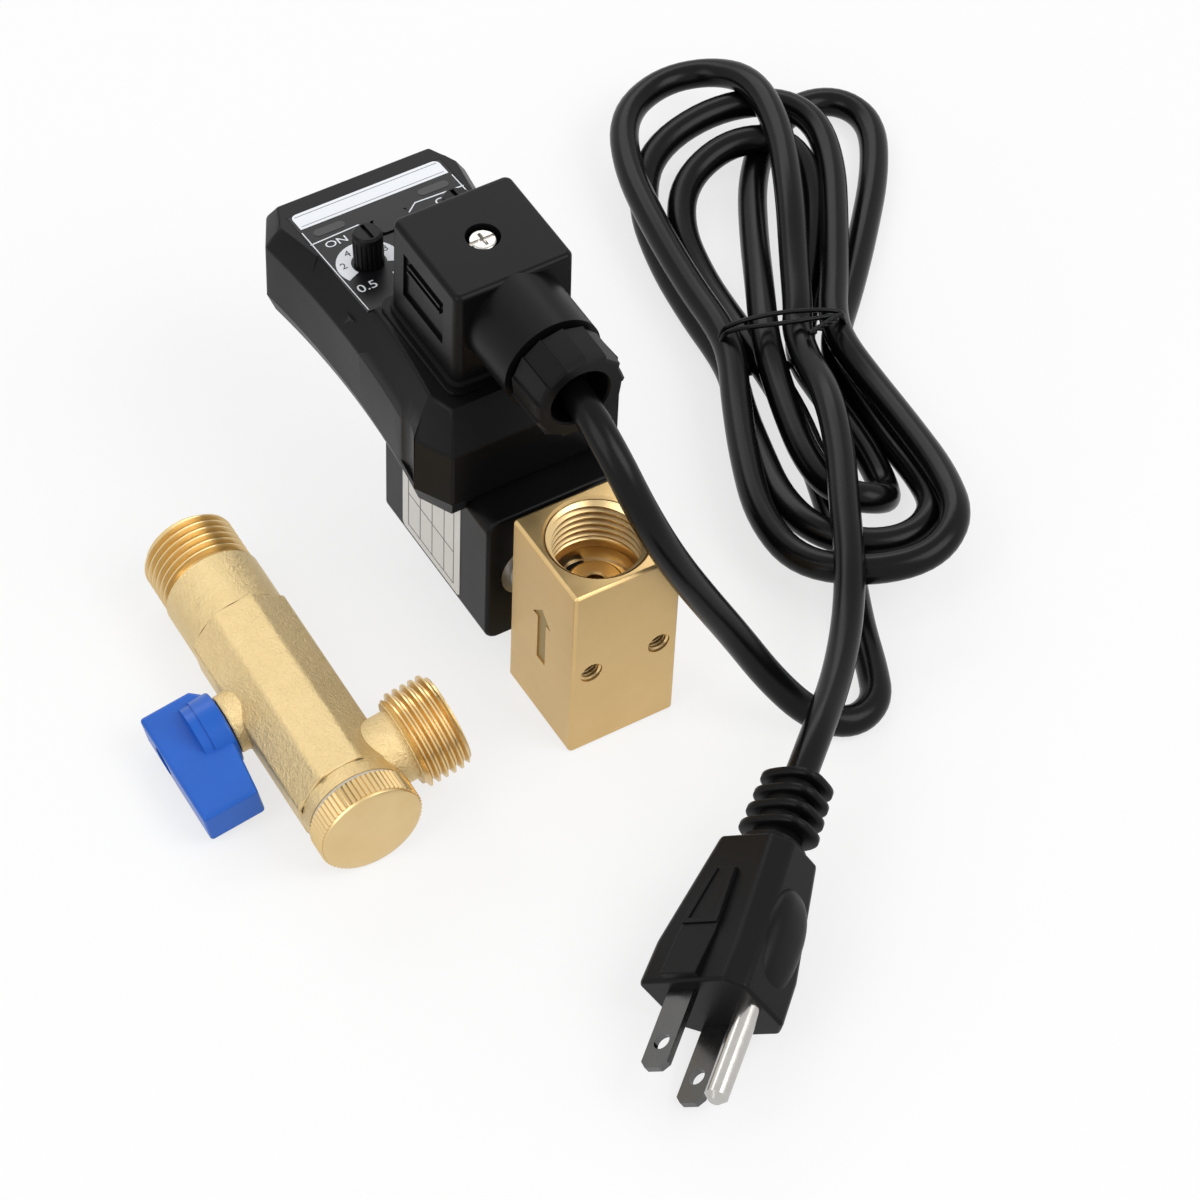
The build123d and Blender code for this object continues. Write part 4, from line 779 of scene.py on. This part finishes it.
def castle_nut():
    """Clamping nut of the gland: its flats step like shingles round a wide mouth."""
    front, back, flats, fine = 8.4, 18.4, 13, 5
    count = flats * fine
    half_flat = math.pi / flats * 0.9

    def ring(y, outer, step=0.0):
        points = []
        for i in range(count):
            part = (i % fine) / (fine - 1)
            angle = 2 * math.pi * (i // fine + 0.015 + 0.97 * part) / flats
            flat = math.cos(half_flat) / math.cos(half_flat * (2 * part - 1))
            radius = outer * flat + step * (0.5 - part) if step else outer
            points.append((radius * math.cos(angle), y, GLAND_Z + radius * math.sin(angle)))
        return points
    rows = [ring(back + 0.8, 7.4), ring(back, 7.4), ring(back, 9.8, 0.3), ring(back - 0.4, 10.2, 0.45),
            ring(front + 2.4, 10.15, 0.55), ring(front + 0.5, 10.0, 0.55), ring(front, 9.5, 0.4),
            ring(front, 6.9), ring(front + 0.5, 6.55), ring(front + 7, 6.4), ring(front + 7, 4.6),
            ring(back + 3, 4.6), ring(back + 3, 7.4)]
    faces = []
    for i in range(len(rows)):
        faces += belt(i * count, (i + 1) % len(rows) * count, count)
    mesh = smooth(outward(mesh_from("castle_nut", [p for row in rows for p in row], faces)), 30)
    nut = show("castle_nut", even_shading("castle_nut", mesh), GRAINED_BLACK, "valve")
    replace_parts(nut, "gland_nut")


# ---- prints on the sloping panel and sticker on the coil ----
def arc(x, y, radius, start, end, steps=28):
    angles = [math.radians(start + (end - start) * i / steps) for i in range(steps + 1)]
    return [(x + radius * math.cos(angle), y + radius * math.sin(angle)) for angle in angles]


def stroke(places, width):
    """Outline of a thin printed line through the places."""
    left, right = [], []
    for i, (x, y) in enumerate(places):
        before, after = places[max(0, i - 1)], places[min(len(places) - 1, i + 1)]
        dx, dy = after[0] - before[0], after[1] - before[1]
        size = math.hypot(dx, dy)
        left.append((x - dy / size * width / 2, y + dx / size * width / 2))
        right.append((x + dy / size * width / 2, y - dx / size * width / 2))
    return left + right[::-1]


def lettered(word, height, x, y, width=1.0):
    """A number or ON or OFF as a thin mesh on the panel."""
    text = bpy.data.curves.new("print", "FONT")
    text.body, text.size = word, height / 0.7 * MM
    text.align_x, text.align_y = "CENTER", "CENTER"
    text.extrude = 0.02 * MM
    text.resolution_u = 4
    mesh = finished_mesh(new_object("print", text))
    mesh.transform(in_metres(PANEL) @ moved(x * MM, y * MM, 0.07 * MM) @ Matrix.Diagonal((width, 1, 1, 1)))
    return mesh


def label_prints():
    """Dial rings, numbers, lines and the bare band on the label; local Y runs up from its fold."""
    band = [(-17.6, 30.6), (17.6, 30.6)] + arc(16.2, 34.2, 1.4, 0, 90, 6) + arc(-16.2, 34.2, 1.4, 90, 180, 6)
    line = ((18.2, 25.2), (6.8, 25.7), (4.2, 23.6), (1.4, 21.9))
    shapes = [band]
    for side in (-1, 1):
        x = side * DIAL_X
        shapes.append(stroke([(side * along, up) for along, up in line], 0.3))
        shapes.append(arc(x, DIAL_Y, 6.9, -26, 206) + arc(x, DIAL_Y, 3.75, 206, -26))
        shapes.append(stroke([(side * 17.9, 1.0), (side * 17.9, 29.6)], 0.22))
    white, black = [slab("print", shapes, 0.01, 0.06, PANEL)], []
    for side, marks, size, most, word in ((-1, ("2", "4", "6", "8"), 1.9, "10", "ON"),
                                          (1, ("10", "20", "30", "40"), 1.5, "45", "OFF")):
        x = side * DIAL_X
        for mark, turn in zip(marks, (163, 119, 72, 24)):
            angle = math.radians(turn)
            black.append(lettered(mark, size, x + 5.3 * math.cos(angle), DIAL_Y + 5.3 * math.sin(angle)))
        white.append(lettered("0.5", 2.4, x - 4.0, 7.4, 1.1))
        white.append(lettered(most, 2.4, x + 3.6, 7.4, 1.1))
        white.append(lettered(word, 2.0, x + side * 2.6, 23.2, 1.15))
    show("label_prints", joined("label_prints", white), INK_WHITE, "valve")
    show("dial_numbers", joined("dial_numbers", black), INK_BLACK, "valve")
    windows = [arc(x + 2.5, 27.9, 1.1, -85, 85, 17) + arc(x - 2.5, 27.9, 1.1, 95, 265, 17)
               for x in (-12.4, 12.4)]
    show("lamp_windows", slab("lamp_windows", windows, 0.01, 0.07, PANEL), GLOSS_BLACK, "valve")
    lines = [stroke([(-17.0, y), (17.0, y)], 0.18) for y in (31.4, 34.7)]
    show("band_lines", slab("band_lines", lines, 0.05, 0.08, PANEL), INK_GREY, "valve")


def coil_sticker():
    """Bare sticker with a plain grid on the coil's left face; local X is minus Y."""
    placed = left_face(COIL_HALF)
    sheet = [(-52, 11), (-51.2, 10.2), (-28.8, 10.2), (-28, 11), (-28, 38.6), (-52, 38.6)]
    show("coil_sticker", slab("coil_sticker", [sheet], 0.0, 0.12, placed), STICKER, "valve")
    rules = [stroke([(y, 12.2), (y, 38)], 0.3) for y in (-49.5, -44.5, -39.5, -34.5, -30.5)]
    rules += [stroke([(-49.5, z), (-30.5, z)], 0.3) for z in (12.2, 22)]
    show("sticker_rules", slab("sticker_rules", rules, 0.1, 0.15, placed), INK_GREY, "valve")


# ---- strainer: local Y runs from the cap to the outlet ----
def strainer_casting():
    """The cast body with its two threads cut down to below the root of the ridges."""
    back = STRAINER.inverted()
    below_root = 9.25

    def cut_threads(form):
        for vertex in form.verts:
            x, y, z = back @ (vertex.co / MM)
            outlet, side = math.hypot(x, z), math.hypot(y - SIDE_PORT_Y, z)
            if y > STRAINER_LENGTH - OUTLET_THREAD - 0.6 and 9.3 < outlet < 10.6:
                shrink = below_root / outlet
                vertex.co = (STRAINER @ Vector((x * shrink, y, z * shrink))) * MM
            elif x > SIDE_PORT_REACH - SIDE_THREAD - 0.1 and side > 8.8:
                shrink = below_root / side
                middle = SIDE_PORT_Y + (y - SIDE_PORT_Y) * shrink
                vertex.co = (STRAINER @ Vector((x, middle, z * shrink))) * MM

    def on_flats(x, y, z):
        place = back @ Vector((x, y, z))
        return 9.0 < place.y < 60 and math.hypot(place.x, place.z) > 10.4 and place.x < 9
    softened("strainer_body", "strainer_casting", "strainer", CAST, 0.5, on_flats, cut_threads)


def strainer_threads():
    sideways = STRAINER @ moved(0, SIDE_PORT_Y, 0) @ turned(-90, "Z")
    ends = (("outlet_ridges", 72.1, 84.8, STRAINER), ("side_ridges", 14.7, 25.3, sideways))
    for name, start, end, placed in ends:
        mesh = thread(name, THREAD_ROOT, THREAD_MAJOR, start, end, placed)
        show(name, mesh, TURNED, "strainer")
    face = lathe("outlet_face", [(8.3, 84.9), (8.4, 85.0), (9.1, 85.0), (9.3, 84.8)], STRAINER)
    show("outlet_face", face, TURNED, "strainer")


def knurled_cap():
    """Turned cap with straight ridges round its rim."""
    profile = [(0, 0.05), (8.5, 0.0), (10.3, 0.1), (10.9, 0.35), (11.15, 0.9), (11.15, 5.7), (10.9, 6.0),
               (8.15, 6.0), (8.15, 11.8), (6.65, 11.8), (6.65, 4.0), (0, 4.0)]
    near, far, sunk, base, crest = 0.8, 5.75, 10.9, 11.1, 11.48
    points = []
    for y in (near, far):
        points += [(-0.48, y, base), (0, y, crest), (0.48, y, base)]
    for y in (near, far):
        points += [(-0.4, y, sunk), (0.4, y, sunk)]
    unit = outward(mesh_from("ridge", points, [(0, 1, 4, 3), (1, 2, 5, 4), (0, 6, 7, 2, 1), (3, 4, 5, 9, 8),
                                               (0, 3, 8, 6), (2, 7, 9, 5)]))
    ridges = all_round("knurl", unit, 66, TURNED)
    ridges.transform(in_metres(STRAINER))
    whole = joined("knurled_cap", [lathe("cap_turning", profile, STRAINER, 96), ridges])
    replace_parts(show("knurled_cap", whole, TURNED, "strainer"), "strainer_cap")


# ---- stage ----
def seen_rays(nodes):
    """1 for rays that show the backdrop to the camera, in metal or through glass, else 0."""
    rays = nodes.node("ShaderNodeLightPath")
    seen = rays.outputs["Is Camera Ray"]
    for kind in ("Is Glossy Ray", "Is Transmission Ray"):
        seen = nodes.amount("ShaderNodeMath", {"operation": "MAXIMUM"}, {0: seen, 1: rays.outputs[kind]})
    return seen


def make_floor():
    size = 4.0
    mesh = bpy.data.meshes.new("floor")
    corners = [(-size, -size, 0), (size, -size, 0), (size, size, 0), (-size, size, 0)]
    mesh.from_pydata(corners, [], [(0, 1, 2, 3)])
    material = bpy.data.materials.new("pale_floor")
    material.use_nodes = True
    material.node_tree.nodes.clear()
    nodes = Nodes(material.node_tree)
    pale = nodes.node("ShaderNodeBsdfDiffuse", {}, {"Color": (0.86, 0.86, 0.86, 1)})
    glow = nodes.node("ShaderNodeEmission", {}, {"Strength": 1.0})
    both = nodes.node("ShaderNodeMixShader", {}, {
        0: seen_rays(nodes) * 0.72, 1: pale.outputs[0], 2: glow.outputs[0]})
    nodes.node("ShaderNodeOutputMaterial", {}, {"Surface": both.outputs[0]})
    mesh.materials.append(material)
    new_object("floor", mesh)


def make_world():
    world = bpy.data.worlds.new("studio")
    bpy.context.scene.world = world
    world.use_nodes = True
    nodes = Nodes(world.node_tree)
    background = nodes.tree.nodes["Background"]
    nodes.feed(background.inputs["Color"], (1, 1, 1, 1))
    nodes.feed(background.inputs["Strength"], seen_rays(nodes) * 0.45 + 0.55)


def make_light(name, place, aim, size, watts):
    data = bpy.data.lights.new(name, "AREA")
    data.shape = "RECTANGLE"
    data.size, data.size_y = size
    data.energy = watts
    light = new_object(name, data)
    light.location = place
    light.rotation_euler = (Vector(aim) - Vector(place)).to_track_quat("-Z", "Y").to_euler()


def make_camera():
    azimuth, elevation, roll = (math.radians(a) for a in (-33.105, 49.467, 2.823))
    back = Vector((math.sin(azimuth) * math.cos(elevation), -math.cos(azimuth) * math.cos(elevation),
                   math.sin(elevation)))
    right = Vector((math.cos(azimuth), math.sin(azimuth), 0))
    up = back.cross(right)
    right, up = (math.cos(roll) * right + math.sin(roll) * up, -math.sin(roll) * right + math.cos(roll) * up)
    aim, distance = Vector((2.776, 2.246, 25.0)) * MM, 927.79 * MM
    data = bpy.data.cameras.new("camera")
    data.sensor_width, data.lens = 36.0, 135.75
    data.clip_start, data.clip_end = 0.05, 20.0
    camera = new_object("camera", data)
    camera.matrix_world = (Matrix.Translation(aim + back * distance)
                           @ Matrix((right, up, back)).transposed().to_4x4())
    bpy.context.scene.camera = camera


# ---- making ----
make_camera()
cord_piece = make_cord()
cord_length = spline_length(cord_piece)
make_floor()
make_world()
make_light("key", (0.55, -0.75, 1.15), (0, 0, 0.03), (0.9, 0.9), 9.0)
make_light("side", (-1.0, -0.15, 0.8), (-0.02, 0, 0.03), (0.7, 1.1), 5.0)
make_light("rear", (0.25, 1.1, 0.9), (0, 0.03, 0.04), (1.3, 0.5), 5.0)

port_threads()
port_seat()
tie_piece = tie_wire()
plug_piece = plug_moulding()
fixing_threads()
flow_arrow()
label_prints()
coil_sticker()
strainer_casting()
strainer_threads()
knurled_cap()
castle_nut()
cover_shell()
coil_shell()
brass_block()
return_spring()

bpy.context.scene.view_settings.view_transform = "Standard"
